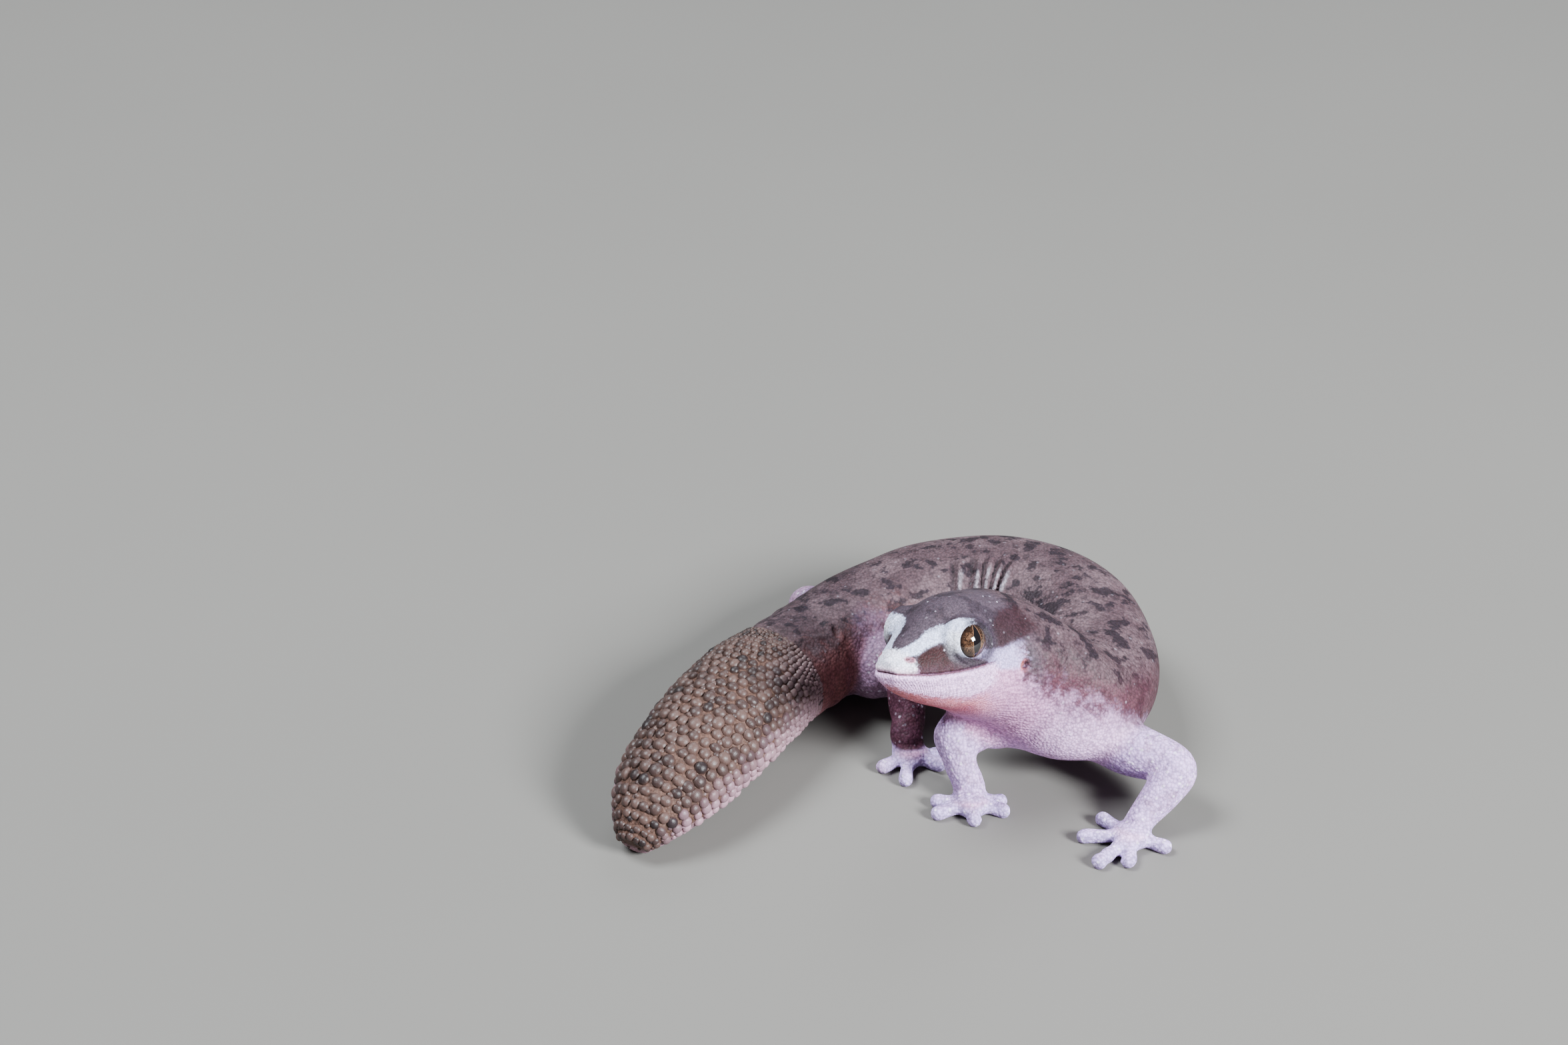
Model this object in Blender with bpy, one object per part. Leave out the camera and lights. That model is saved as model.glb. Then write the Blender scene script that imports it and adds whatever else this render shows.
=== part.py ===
"""Desert fat-tailed gecko, life size, standing as a still museum model.

The animal stands on four feet with its body bent to its right, its fat tail laid on the floor
and its head raised and turned. Sizes below are millimetres; meshes are made in metres, +Z up,
with the floor at zero and the origin under the middle of the animal.
"""
import math
import random

import bmesh
import bpy
import numpy as np
from mathutils import Matrix, Vector
from mathutils.bvhtree import BVHTree

MM = 0.001
CENTRE = np.array([0.51, 1.11, 0.0])
JOINT_GAP = 0.30
STEPS = 6
NAPE_EASING = 240

# Fineness of the skins before they are cut
BODY_VOXEL = 0.30
LIMB_VOXEL = 0.17
BODY_TRIANGLES = 4150
LIMB_TRIANGLES = 650

# Head: its place, its turn and its size
HEAD_LENGTH = 11.6
HEAD_REAR = np.array([6.5, -4.7, 11.6])
HEAD_YAW = math.radians(46)
HEAD_PITCH = math.radians(17)
HEAD_ROLL = math.radians(16.4)

# Head sections: share of head length behind the snout, half width, height above, depth below
# and squareness of the upper half
HEAD_SECTIONS = (
    (0.030, 1.05, 1.05, 0.85, 2.0),
    (0.110, 1.85, 1.85, 1.45, 1.9),
    (0.240, 2.75, 2.85, 2.25, 1.8),
    (0.400, 3.65, 4.15, 3.00, 1.9),
    (0.560, 4.40, 5.05, 3.55, 2.1),
    (0.720, 4.85, 5.30, 4.15, 2.2),
    (0.880, 5.10, 5.25, 4.90, 2.2),
    (1.020, 5.05, 5.20, 5.30, 2.2),
)
BODY_SQUARENESS = 2.2

# Spine from the neck back: place of the axis, then half width, height above and depth below
BODY_SECTIONS = (
    (9.6, -4.6, 10.0, 4.75, 5.40, 5.50),
    (12.4, -4.7, 8.1, 5.15, 5.40, 5.50),
    (14.6, -3.4, 6.6, 5.40, 4.60, 4.90),
    (16.0, -0.6, 6.1, 5.50, 4.40, 4.40),
    (16.3, 2.8, 6.0, 5.55, 4.45, 4.20),
    (15.4, 7.7, 6.0, 5.70, 4.45, 4.20),
    (12.9, 11.1, 5.9, 5.80, 4.45, 4.15),
    (8.8, 12.8, 5.8, 5.70, 4.45, 4.10),
    (3.2, 12.2, 5.6, 5.45, 4.30, 4.10),
    (-0.2, 10.5, 5.4, 5.10, 4.15, 4.30),
    (-3.3, 8.4, 5.2, 4.95, 4.00, 4.60),
    (-6.7, 5.1, 5.0, 4.60, 3.90, 4.60),
    (-9.3, 2.2, 4.9, 4.60, 4.00, 4.50),
    (-11.7, -0.8, 4.7, 4.95, 4.20, 4.25),
    (-15.0, -6.3, 4.3, 4.95, 4.00, 3.80),
    (-18.2, -11.4, 3.3, 4.15, 3.20, 3.00),
    (-19.9, -14.3, 2.3, 2.70, 2.10, 2.25),
    (-20.8, -16.0, 1.4, 1.20, 0.90, 1.45),
)

# Limbs: joints from the root to the wrist or ankle, each with its radius
LIMBS = {
    "left_fore": (
        (16.0, -4.8, 4.6, 2.6),
        (18.5, -7.2, 4.2, 2.25),
        (21.9, -10.0, 4.4, 1.65),
        (21.0, -11.3, 3.2, 1.55),
        (19.3, -12.6, 1.6, 1.20),
        (18.7, -13.3, 1.1, 1.15),
    ),
    "right_fore": (
        (12.4, -3.4, 4.9, 1.9),
        (8.6, -5.2, 4.6, 1.75),
        (4.6, -6.2, 5.2, 1.60),
        (4.9, -7.3, 3.6, 1.40),
        (5.7, -8.3, 1.7, 1.35),
        (5.8, -9.1, 1.2, 1.25),
    ),
    "left_hind": (
        (-4.2, 9.4, 4.9, 2.5),
        (-5.6, 11.0, 4.9, 2.2),
        (-6.9, 12.3, 4.8, 1.75),
        (-6.5, 14.2, 3.3, 1.50),
        (-5.8, 16.0, 1.7, 1.20),
        (-5.3, 16.6, 1.2, 1.10),
    ),
    "right_hind": (
        (-2.7, 6.4, 4.4, 3.5),
        (-0.9, 4.5, 4.4, 3.2),
        (1.1, 2.8, 4.9, 2.10),
        (1.2, 0.4, 3.6, 1.60),
        (1.1, -2.2, 1.8, 1.35),
        (1.2, -2.8, 1.2, 1.25),
    ),
}

# Feet: middle of the palm and the five toe ends, in plan
FEET = {
    "left_fore": ((18.3, -14.0), ((15.8, -11.2), (13.9, -13.8), (15.0, -17.4), (17.6, -17.5), (21.3, -15.4))),
    "right_fore": ((5.9, -9.9), ((2.6, -9.3), (2.6, -11.2), (6.1, -12.4), (8.9, -9.0), (9.0, -10.8))),
    "left_hind": ((-4.8, 16.9), ((-7.2, 18.3), (-5.0, 19.7), (-2.8, 19.7), (-1.4, 18.0), (-2.4, 15.5))),
    "right_hind": ((1.3, -3.5), ((1.7, -0.9), (-1.5, -5.2), (0.7, -7.2), (4.3, -4.9), (4.0, -3.1))),
}
PALM_RADIUS = 1.55
PALM_HEIGHT = 0.75
TOE_RADIUS = 0.62
TOE_HEIGHT = 0.50

# Eyes: places in the head, behind the snout, out from the middle and up from the mouth
EYE_RADIUS = 1.50
EYE_BACK = 6.10
EYE_SIDE = 2.95
EYE_UP = 2.20
BROW_RADII = (2.35, 1.45, 2.05)
LID_RADIUS = 0.30

# Mouth: turn about a point inside the head, and height of the line there
MOUTH_PIVOT_BACK = 4.0
MOUTH_LINE = ((0, 0.10), (30, 0.05), (60, -0.05), (85, 0.00), (105, 0.10), (120, 0.35), (130, 0.65))
MOUTH_GROOVE = 0.20

# Nostril and ear: places behind the snout and up from the mouth
NOSTRIL = (1.50, 0.97)
NOSTRIL_RADIUS = 0.26
EAR = (9.95, 0.10)
EAR_RADII = (0.42, 0.62, 0.75)
PIT_DEPTH = 0.08

# Where the neck's skin is eased: from and to, behind the snout, and how far from the neck's middle
EASED_FROM = (7.6, 9.6)
EASED_REACH = (6.5, 10.0)
EASED_MIDDLE = (10.5, -5.5, 9.5)
EASING_ROUNDS = 90

# Where the body is parted: the node that begins there, station of the sections, radius of the cut
CUTS = (
    ("neck", 7.9, 6.8),
    ("chest", 9.4, 7.0),
    ("trunk_front", 11.6, 7.0),
    ("trunk_rear", 14.0, 7.0),
    ("hips", 16.4, 7.0),
    ("tail", 19.6, 6.6),
)

# Flesh of the cheek and neck, filling the inside of the bend behind the left jaw
CHEEK = (9.1, -5.9, 10.9)
CHEEK_RADII = (4.6, 4.20, 4.8)

# Domed scales of the tail: first and last station, distance apart at the root and at the tip
SCALES_FIRST = 20.0
SCALES_LAST = 24.8
SCALE_SPACING = 2.05
SCALE_SPACING_TIP = 1.45
SCALE_FILL = 0.45
SCALE_RISE = 0.42
SCALE_SINK = 0.30
SCALE_SIDES = 6
SCALE_LOWEST = 1.5
SCALE_FACING = -0.2

COLOURS = {
    "hide": (0.30, 0.22, 0.22),
    "tail": (0.26, 0.19, 0.16),
    "eye": (0.25, 0.13, 0.06),
}


def clear_scene():
    for obj in list(bpy.data.objects):
        bpy.data.objects.remove(obj, do_unlink=True)


def head_axes():
    """Forward, left and up of the head."""
    sin_y, cos_y = math.sin(HEAD_YAW), math.cos(HEAD_YAW)
    sin_p, cos_p = math.sin(HEAD_PITCH), math.cos(HEAD_PITCH)
    forward = np.array([-sin_y * cos_p, -cos_y * cos_p, sin_p])
    level = np.array([cos_y, -sin_y, 0.0])
    upright = np.cross(forward, level)
    left = math.cos(HEAD_ROLL) * level + math.sin(HEAD_ROLL) * upright
    return forward, left, np.cross(forward, left)


FORWARD, LEFT, UP = head_axes()
SNOUT = HEAD_REAR + HEAD_LENGTH * FORWARD


def in_head(back, side, up):
    """A point of the head, from its snout."""
    return SNOUT - back * FORWARD + side * LEFT + up * UP


def smooth_path(points, steps):
    """Catmull-Rom curve through rows of numbers."""
    rows = np.asarray(points, float)
    rows = np.vstack([2 * rows[0] - rows[1], rows, 2 * rows[-1] - rows[-2]])
    out = []
    for i in range(1, len(rows) - 2):
        a, b, c, d = rows[i - 1 : i + 3]
        for t in np.arange(steps) / steps:
            out.append(
                0.5 * (2 * b + (c - a) * t + (2 * a - 5 * b + 4 * c - d) * t**2 + (3 * b - a - 3 * c + d) * t**3)
            )
    out.append(rows[-2])
    return np.array(out)


def to_world(points):
    """Design millimetres to metres about the origin on the floor."""
    return (np.asarray(points, float) - CENTRE) * MM


def mesh_object(name, verts, faces):
    mesh = bpy.data.meshes.new(name)
    mesh.from_pydata([tuple(v) for v in verts], [], [tuple(f) for f in faces])
    mesh.validate()
    bm = bmesh.new()
    bm.from_mesh(mesh)
    bmesh.ops.recalc_face_normals(bm, faces=bm.faces)
    bm.to_mesh(mesh)
    bm.free()
    obj = bpy.data.objects.new(name, mesh)
    bpy.context.collection.objects.link(obj)
    return obj


def loft(name, rings):
    """Skin a row of equal rings and close both ends with a point."""
    rings = np.asarray(rings)
    count, around = rings.shape[:2]
    verts = rings.reshape(-1, 3)
    ends = np.array([rings[0].mean(0), rings[-1].mean(0)])
    faces = []
    for i in range(count - 1):
        for j in range(around):
            k = (j + 1) % around
            faces.append((i * around + j, i * around + k, (i + 1) * around + k, (i + 1) * around + j))
    first, last = count * around, count * around + 1
    for j in range(around):
        k = (j + 1) % around
        faces.append((first, k, j))
        faces.append((last, (count - 1) * around + j, (count - 1) * around + k))
    return mesh_object(name, to_world(np.vstack([verts, ends])), faces)


def section_ring(centre, left, up, half, top, bottom, squareness, around=48):
    """A rounded section, taller above or below its axis as the sizes say."""
    turn = np.arange(around) / around * 2 * math.pi
    cos, sin = np.cos(turn), np.sin(turn)
    power = 2 / np.where(sin > 0, squareness, max(squareness, BODY_SQUARENESS))
    across = half * np.sign(cos) * np.abs(cos) ** power
    height = np.where(sin > 0, top, bottom) * np.sign(sin) * np.abs(sin) ** power
    return centre + across[:, None] * left + height[:, None] * up


def round_ring(centre, side, way, radius, around):
    turn = np.arange(around)[:, None] / around * 2 * math.pi
    return centre + radius * (np.cos(turn) * side + np.sin(turn) * np.cross(side, way))


def body_frames():
    """Centres, axes and sizes of all sections from the snout to the tail tip."""
    rows = []
    for share, *sizes in HEAD_SECTIONS:
        rows.append((*in_head(share * HEAD_LENGTH, 0, 0), *sizes, *UP))
    for row in BODY_SECTIONS:
        rows.append((*row, BODY_SQUARENESS, 0.0, 0.0, 1.0))
    path = smooth_path(rows, STEPS)
    ahead = -np.gradient(path[:, :3], axis=0)
    ahead /= np.linalg.norm(ahead, axis=1)[:, None]
    for _ in range(NAPE_EASING):
        ahead[1:-1] = (ahead[:-2] + 2 * ahead[1:-1] + ahead[2:]) / 4
    ahead /= np.linalg.norm(ahead, axis=1)[:, None]
    up = path[:, 7:10]
    up = up - (up * ahead).sum(1)[:, None] * ahead
    up /= np.linalg.norm(up, axis=1)[:, None]
    left = np.cross(up, ahead)
    return path[:, :3], left, up, ahead, path[:, 3:7]


def make_body():
    centres, left, up, _, sizes = body_frames()
    rings = [section_ring(c, l, u, *s) for c, l, u, s in zip(centres, left, up, sizes)]
    return loft("body", rings)


def tube(name, joints, around=20, steps=6):
    """A round tube through its joints, each with its radius."""
    path = smooth_path(joints, steps)
    ahead = np.gradient(path[:, :3], axis=0)
    ahead /= np.linalg.norm(ahead, axis=1)[:, None]
    rings = []
    side = np.cross(ahead[0], (0.0, 0.0, 1.0))
    for point, way in zip(path, ahead):
        side = side - side.dot(way) * way
        side /= np.linalg.norm(side)
        rings.append(round_ring(point[:3], side, way, point[3], around))
    return loft(name, rings)


def ball(name, centre, radii, segments=20):
    mesh = bpy.data.meshes.new(name)
    bm = bmesh.new()
    bmesh.ops.create_uvsphere(bm, u_segments=segments, v_segments=segments * 3 // 5, radius=1.0)
    place = Matrix.Translation(Vector(to_world(centre))) @ Matrix.Diagonal((*(np.asarray(radii) * MM), 1.0))
    bmesh.ops.transform(bm, matrix=place, verts=bm.verts)
    bm.to_mesh(mesh)
    bm.free()
    obj = bpy.data.objects.new(name, mesh)
    bpy.context.collection.objects.link(obj)
    return obj


def toe(name, start, end):
    """A stubby toe from the palm to its blunt end."""
    start, end = np.asarray(start, float), np.asarray(end, float)
    way = (end - start) / np.linalg.norm(end - start)
    tip = end - way * TOE_RADIUS
    rows = []
    for share, girth, lift in ((0.0, 1.0, 0.35), (0.35, 0.88, 0.10), (0.7, 0.92, 0.02), (1.0, 1.02, 0.0)):
        spot = start + (tip - start) * share
        rows.append((*spot, TOE_HEIGHT + lift, TOE_RADIUS * girth))
    for turn in (30, 60, 85):
        angle = math.radians(turn)
        spot = tip + way * TOE_RADIUS * math.sin(angle)
        rows.append((*spot, TOE_HEIGHT, TOE_RADIUS * math.cos(angle) * 1.02))
    return tube(name, rows, 14)


def foot_pieces(limb):
    palm, toes = FEET[limb]
    pieces = [ball(limb + "_palm", (*palm, PALM_HEIGHT), (PALM_RADIUS, PALM_RADIUS, 0.95))]
    for number, end in enumerate(toes):
        inner = np.asarray(palm) + (np.asarray(end) - palm) * 0.15
        pieces.append(toe(f"{limb}_toe_{number}", inner, end))
    return pieces


def apply_modifiers(obj):
    """Replace the object's mesh by the shape its modifiers give."""
    bpy.context.view_layer.update()
    graph = bpy.context.evaluated_depsgraph_get()
    mesh = bpy.data.meshes.new_from_object(obj.evaluated_get(graph))
    obj.modifiers.clear()
    old = obj.data
    obj.data = mesh
    bpy.data.meshes.remove(old)


def remove(objects):
    for obj in objects:
        bpy.data.objects.remove(obj, do_unlink=True)


def joined(name, pieces):
    """Put the pieces' faces in one mesh, still crossing each other."""
    bm = bmesh.new()
    for piece in pieces:
        bm.from_mesh(piece.data)
    mesh = bpy.data.meshes.new(name)
    bm.to_mesh(mesh)
    bm.free()
    remove(pieces)
    obj = bpy.data.objects.new(name, mesh)
    bpy.context.collection.objects.link(obj)
    return obj


def combine(target, cutters, operation, solver="EXACT"):
    """One Boolean of the target with all cutters, which are then removed."""
    group = bpy.data.collections.new("cutters")
    bpy.context.scene.collection.children.link(group)
    for cutter in cutters:
        for owner in list(cutter.users_collection):
            owner.objects.unlink(cutter)
        group.objects.link(cutter)
    boolean = target.modifiers.new("boolean", "BOOLEAN")
    boolean.operation = operation
    boolean.solver = solver
    boolean.operand_type = "COLLECTION"
    boolean.collection = group
    apply_modifiers(target)
    remove(list(group.objects))
    bpy.data.collections.remove(group)


def fused(name, pieces, voxel):
    """Fuse crossing pieces in one smooth closed skin."""
    skin = joined(name, pieces)
    remesh = skin.modifiers.new("remesh", "REMESH")
    remesh.mode = "VOXEL"
    remesh.voxel_size = voxel * MM
    smooth = skin.modifiers.new("smooth", "SMOOTH")
    smooth.factor = 0.5
    smooth.iterations = 5
    apply_modifiers(skin)
    return skin


def thinned(skin, triangles):
    """Leave the skin about so many triangles."""
    thin = skin.modifiers.new("thin", "DECIMATE")
    thin.ratio = triangles / (2 * len(skin.data.polygons))
    thin.use_collapse_triangulate = True
    apply_modifiers(skin)
    return skin


def ease_neck(skin):
    """Smooth the skin behind the jaw, where head and neck meet at an angle."""
    group = skin.vertex_groups.new(name="eased")
    middle = np.array(EASED_MIDDLE)
    for vertex in skin.data.vertices:
        spot = np.array(vertex.co) / MM + CENTRE
        back = (SNOUT - spot).dot(FORWARD)
        start = np.interp(back, EASED_FROM, (0.0, 1.0))
        near = np.interp(np.linalg.norm(spot - middle), EASED_REACH, (1.0, 0.0))
        if start * near > 0:
            group.add([vertex.index], start * near, "REPLACE")
    smooth = skin.modifiers.new("ease", "SMOOTH")
    smooth.factor = 0.5
    smooth.iterations = EASING_ROUNDS
    smooth.vertex_group = group.name
    apply_modifiers(skin)


def disc(name, centre, way, radius, thickness=JOINT_GAP, sides=28):
    """A thin round disc square to a direction, for parting the flesh."""
    mesh = bpy.data.meshes.new(name)
    bm = bmesh.new()
    bmesh.ops.create_cone(
        bm, cap_ends=True, segments=sides, radius1=radius * MM, radius2=radius * MM, depth=thickness * MM
    )
    turn = Vector(way).to_track_quat("Z", "X").to_matrix().to_4x4()
    bmesh.ops.transform(bm, matrix=Matrix.Translation(Vector(to_world(centre))) @ turn, verts=bm.verts)
    bm.to_mesh(mesh)
    bm.free()
    obj = bpy.data.objects.new(name, mesh)
    bpy.context.collection.objects.link(obj)
    return obj


def below_floor():
    """What lies below the floor."""
    size = 80 * MM
    mesh = bpy.data.meshes.new("below")
    bm = bmesh.new()
    bmesh.ops.create_cube(bm, size=size)
    bmesh.ops.translate(bm, vec=(0, 0, -size / 2), verts=bm.verts)
    bm.to_mesh(mesh)
    bm.free()
    obj = bpy.data.objects.new("below", mesh)
    bpy.context.collection.objects.link(obj)
    return obj


def closed_parts(obj):
    """The object's separate closed surfaces, largest first, as corner places and triangles."""
    bm = bmesh.new()
    bm.from_mesh(obj.data)
    bmesh.ops.triangulate(bm, faces=bm.faces)
    spots = np.array([tuple(v.co) for v in bm.verts])
    seen = set()
    parts = []
    for face in bm.faces:
        if face in seen:
            continue
        stack, part = [face], []
        seen.add(face)
        while stack:
            here = stack.pop()
            part.append([v.index for v in here.verts])
            for edge in here.edges:
                for other in edge.link_faces:
                    if other not in seen:
                        seen.add(other)
                        stack.append(other)
        used, faces = np.unique(np.array(part), return_inverse=True)
        parts.append((spots[used], faces.reshape(-1, 3)))
    bm.free()
    return sorted(parts, key=volume_of, reverse=True)


def volume_of(part):
    corners = part[0][part[1]]
    return float(np.einsum("ij,ij->i", corners[:, 0], np.cross(corners[:, 1], corners[:, 2])).sum() / 6)


def middle_of(part):
    corners = part[0][part[1]]
    weights = np.einsum("ij,ij->i", corners[:, 0], np.cross(corners[:, 1], corners[:, 2]))
    return (corners.sum(1) / 4 * weights[:, None]).sum(0) / weights.sum()


def node_from(name, part, material):
    """A closed surface as a node of its own."""
    obj = mesh_object(name, *part)
    finish(obj, material)
    return obj


def finish(obj, material):
    obj.data.materials.clear()
    obj.data.materials.append(material)
    obj.data.shade_smooth()
    obj.data.set_sharp_from_angle(angle=math.radians(40))


def paint(name, roughness):
    material = bpy.data.materials.new(name)
    material.use_nodes = True
    shader = material.node_tree.nodes["Principled BSDF"]
    shader.inputs["Base Color"].default_value = (*COLOURS[name], 1.0)
    shader.inputs["Roughness"].default_value = roughness
    shader.inputs["Metallic"].default_value = 0.0
    return material


def parted(obj, places, materials):
    """Name the object's closed parts by the places that lie nearest their middles."""
    parts = closed_parts(obj)[: len(places)]
    remove([obj])
    nodes = {}
    for name, place in places.items():
        gaps = [np.linalg.norm(middle_of(part) - to_world(place)) for part in parts]
        part = parts.pop(int(np.argmin(gaps)))
        nodes[name] = node_from(name, part, materials(name))
    return nodes


def grown(obj, distance):
    """A copy of a skin, grown outwards."""
    copy = bpy.data.objects.new(obj.name + "_grown", obj.data.copy())
    bpy.context.collection.objects.link(copy)
    displace = copy.modifiers.new("grow", "DISPLACE")
    displace.strength = distance * MM
    displace.mid_level = 0.0
    apply_modifiers(copy)
    return copy


def head_ball(name, spot, radii, segments=20):
    """An egg set square to the head: radii along it, across it and up."""
    piece = ball(name, (0, 0, 0), (1, 1, 1), segments)
    axes = np.stack([FORWARD * radii[0], LEFT * radii[1], UP * radii[2]], 1)
    for vertex in piece.data.vertices:
        vertex.co = to_world(spot + axes @ (np.array(vertex.co) / MM + CENTRE))
    return piece


def eye_spot(side):
    return in_head(EYE_BACK, side * EYE_SIDE, EYE_UP)


def brow(side):
    """The mound that carries an eye."""
    return head_ball("brow", eye_spot(side), BROW_RADII)


def surface_of(obj):
    bm = bmesh.new()
    bm.from_mesh(obj.data)
    tree = BVHTree.FromBMesh(bm)
    bm.free()
    return tree


def on_skin(tree, inside, way, reach=8):
    """Where a ray from outside the body, back along a direction, meets its skin, and which way it faces."""
    far = np.asarray(inside) + np.asarray(way) * reach
    hit, facing = tree.ray_cast(Vector(to_world(far)), Vector(-np.asarray(way)))[:2]
    return np.array(hit) / MM + CENTRE, np.array(facing)


def mouth_groove(tree):
    """A thin tube along the mouth from corner to corner, half sunk in the skin."""
    turns = [(-angle, up) for angle, up in reversed(MOUTH_LINE[1:])] + list(MOUTH_LINE)
    rows = []
    for angle, up in smooth_path(turns, 3):
        way = math.cos(math.radians(angle)) * FORWARD + math.sin(math.radians(angle)) * LEFT
        spot = on_skin(tree, in_head(MOUTH_PIVOT_BACK, 0, up), way)[0]
        rows.append((*spot, MOUTH_GROOVE))
    for end in (0, -1):
        rows[end] = (*rows[end][:3], MOUTH_GROOVE / 3)
    return tube("mouth", rows, 6, 1)


def lid_ring(side):
    """The raised rim of the lids round an eye."""
    middle = eye_spot(side)
    outward = side * LEFT * 0.97 + FORWARD * 0.20 + UP * 0.10
    outward /= np.linalg.norm(outward)
    along = np.cross(UP, outward)
    along /= np.linalg.norm(along)
    across = np.cross(outward, along)
    reach = EYE_RADIUS
    rows = []
    for turn in range(0, 361, 20):
        angle = math.radians(turn)
        spread = reach * (math.cos(angle) * along + 0.92 * math.sin(angle) * across)
        rows.append(middle + outward * 1.10 + spread)
    return ring_tube("lid", rows[:-1], LID_RADIUS)


def ring_tube(name, spots, radius, around=6):
    """A closed round tube through spots."""
    spots = np.asarray(spots)
    count = len(spots)
    ahead = np.roll(spots, -1, 0) - np.roll(spots, 1, 0)
    ahead /= np.linalg.norm(ahead, axis=1)[:, None]
    out = spots - spots.mean(0)
    out -= (out * ahead).sum(1)[:, None] * ahead
    out /= np.linalg.norm(out, axis=1)[:, None]
    verts, faces = [], []
    for spot, side, way in zip(spots, out, ahead):
        verts.append(round_ring(spot, side, way, radius, around))
    for i in range(count):
        for j in range(around):
            k, n = (j + 1) % around, (i + 1) % count
            faces.append((i * around + j, i * around + k, n * around + k, n * around + j))
    return mesh_object(name, to_world(np.vstack(verts)), faces)


def make_eye(side, material):
    name = "left_eye" if side > 0 else "right_eye"
    eye = head_ball(name, eye_spot(side), (EYE_RADIUS,) * 3, 16)
    finish(eye, material)
    return eye


def detail_head(head):
    """Lids, sockets, mouth, nostrils and ear openings."""
    tree = surface_of(head)
    combine(head, [lid_ring(1), lid_ring(-1)], "UNION")
    cutters = [mouth_groove(tree)]
    for side in (1, -1):
        cutters.append(head_ball("socket", eye_spot(side), (EYE_RADIUS + JOINT_GAP,) * 3, 18))
        way = side * LEFT
        nostril = on_skin(tree, in_head(NOSTRIL[0], 0, NOSTRIL[1]), way)[0] - PIT_DEPTH * way
        cutters.append(head_ball("nostril", nostril, (NOSTRIL_RADIUS,) * 3, 8))
        ear = on_skin(tree, in_head(EAR[0], 0, EAR[1]), way)[0] - PIT_DEPTH * way
        cutters.append(head_ball("ear", ear, (EAR_RADII[0], EAR_RADII[2], EAR_RADII[1]), 10))
    for cutter in cutters:
        combine(head, [cutter], "DIFFERENCE")
    keep_largest(head)


def keep_largest(node):
    """Put the largest closed surface of a node in its place."""
    largest = closed_parts(node)[0]
    name, material = node.name, node.data.materials[0]
    remove([node])
    return node_from(name, largest, material)


def cover_tail(tail, scales):
    """Join the domed scales to the tail."""
    combine(tail, scales, "UNION")
    keep_largest(tail)


def dome(name, spot, facing, radius):
    """One domed scale, its foot sunk in the skin."""
    side = np.cross(facing, FORWARD)
    side /= np.linalg.norm(side)
    rings = []
    for share, height in ((1.0, -SCALE_SINK), (1.0, 0.2 * SCALE_RISE), (0.62, 0.82 * SCALE_RISE)):
        rings.append(round_ring(spot + height * facing, side, facing, share * radius, SCALE_SIDES))
    verts = np.vstack(rings + [spot - SCALE_SINK * facing, spot + SCALE_RISE * facing])
    foot, top = len(verts) - 2, len(verts) - 1
    faces = []
    for j in range(SCALE_SIDES):
        k = (j + 1) % SCALE_SIDES
        faces.append((foot, k, j))
        for i in (0, SCALE_SIDES):
            faces.append((i + j, i + k, i + SCALE_SIDES + k, i + SCALE_SIDES + j))
        faces.append((top, 2 * SCALE_SIDES + j, 2 * SCALE_SIDES + k))
    return mesh_object(name, to_world(verts), faces)


def tail_scales(tree):
    """Domed scales in staggered rows across the top and sides of the tail."""
    centres, left, up, _, sizes = body_frames()
    dice = random.Random(11)
    travelled = np.concatenate([[0], np.cumsum(np.linalg.norm(np.diff(centres, axis=0), axis=1))])
    here, end = travelled[int(SCALES_FIRST * STEPS)], travelled[int(SCALES_LAST * STEPS)]
    start, row, domes = here, 0, []
    while here < end:
        taper = max(0.0, (here - start) / (end - start) - 0.4) / 0.6
        spacing = SCALE_SPACING + (SCALE_SPACING_TIP - SCALE_SPACING) * taper
        table = np.hstack([centres, left, up, sizes])
        mixed = np.array([np.interp(here, travelled, column) for column in table.T])
        centre = mixed[:3]
        ring = section_ring(centre, mixed[3:6], mixed[6:9], *mixed[9:], around=240)
        ring = np.roll(ring, 60, axis=0)
        steps = np.linalg.norm(np.diff(ring, axis=0), axis=1)
        along = np.concatenate([[0], np.cumsum(steps)]) - steps[:120].sum()
        reach = int(along[-1] / spacing) + 1
        for number in range(-reach, reach):
            offset = (number + 0.5 * (row % 2)) * spacing + dice.uniform(-0.06, 0.06)
            if abs(offset) > along[-1] * 0.95:
                continue
            aim = np.array([np.interp(offset, along, ring[:, axis]) for axis in range(3)])
            way = (aim - centre) / np.linalg.norm(aim - centre)
            spot, facing = on_skin(tree, centre, way)
            if spot[2] > SCALE_LOWEST and facing[2] > SCALE_FACING:
                domes.append(dome("scale", spot, facing, spacing * SCALE_FILL * dice.uniform(0.90, 1.05)))
        here += spacing * 0.90
        row += 1
    return domes


def make_body_skin():
    pieces = [make_body(), ball("cheek", CHEEK, CHEEK_RADII), brow(1), brow(-1)]
    body = fused("body", pieces, BODY_VOXEL)
    ease_neck(body)
    thinned(body, BODY_TRIANGLES)
    combine(body, [below_floor()], "DIFFERENCE")
    return body


def make_limb(name, body):
    """One limb, from where it leaves the body to its toes, as leg and foot."""
    skin = fused(name, [tube(name + "_bone", LIMBS[name])] + foot_pieces(name), LIMB_VOXEL)
    thinned(skin, LIMB_TRIANGLES)
    joints = np.array(LIMBS[name])[:, :3]
    wrist = joints[4] * 0.6 + joints[5] * 0.4
    way = joints[5] - joints[3]
    cutters = [grown(body, JOINT_GAP), below_floor(), disc("wrist", wrist, way, 2.2)]
    for cutter in cutters:
        combine(skin, [cutter], "DIFFERENCE")
    palm = np.array([*FEET[name][0], PALM_HEIGHT])
    side, end = name.split("_")
    hide = paint("hide", 0.6)
    places = {f"{side}_{end}leg": joints[3], f"{side}_{end}foot": palm}
    return parted(skin, places, lambda node: hide)


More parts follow.
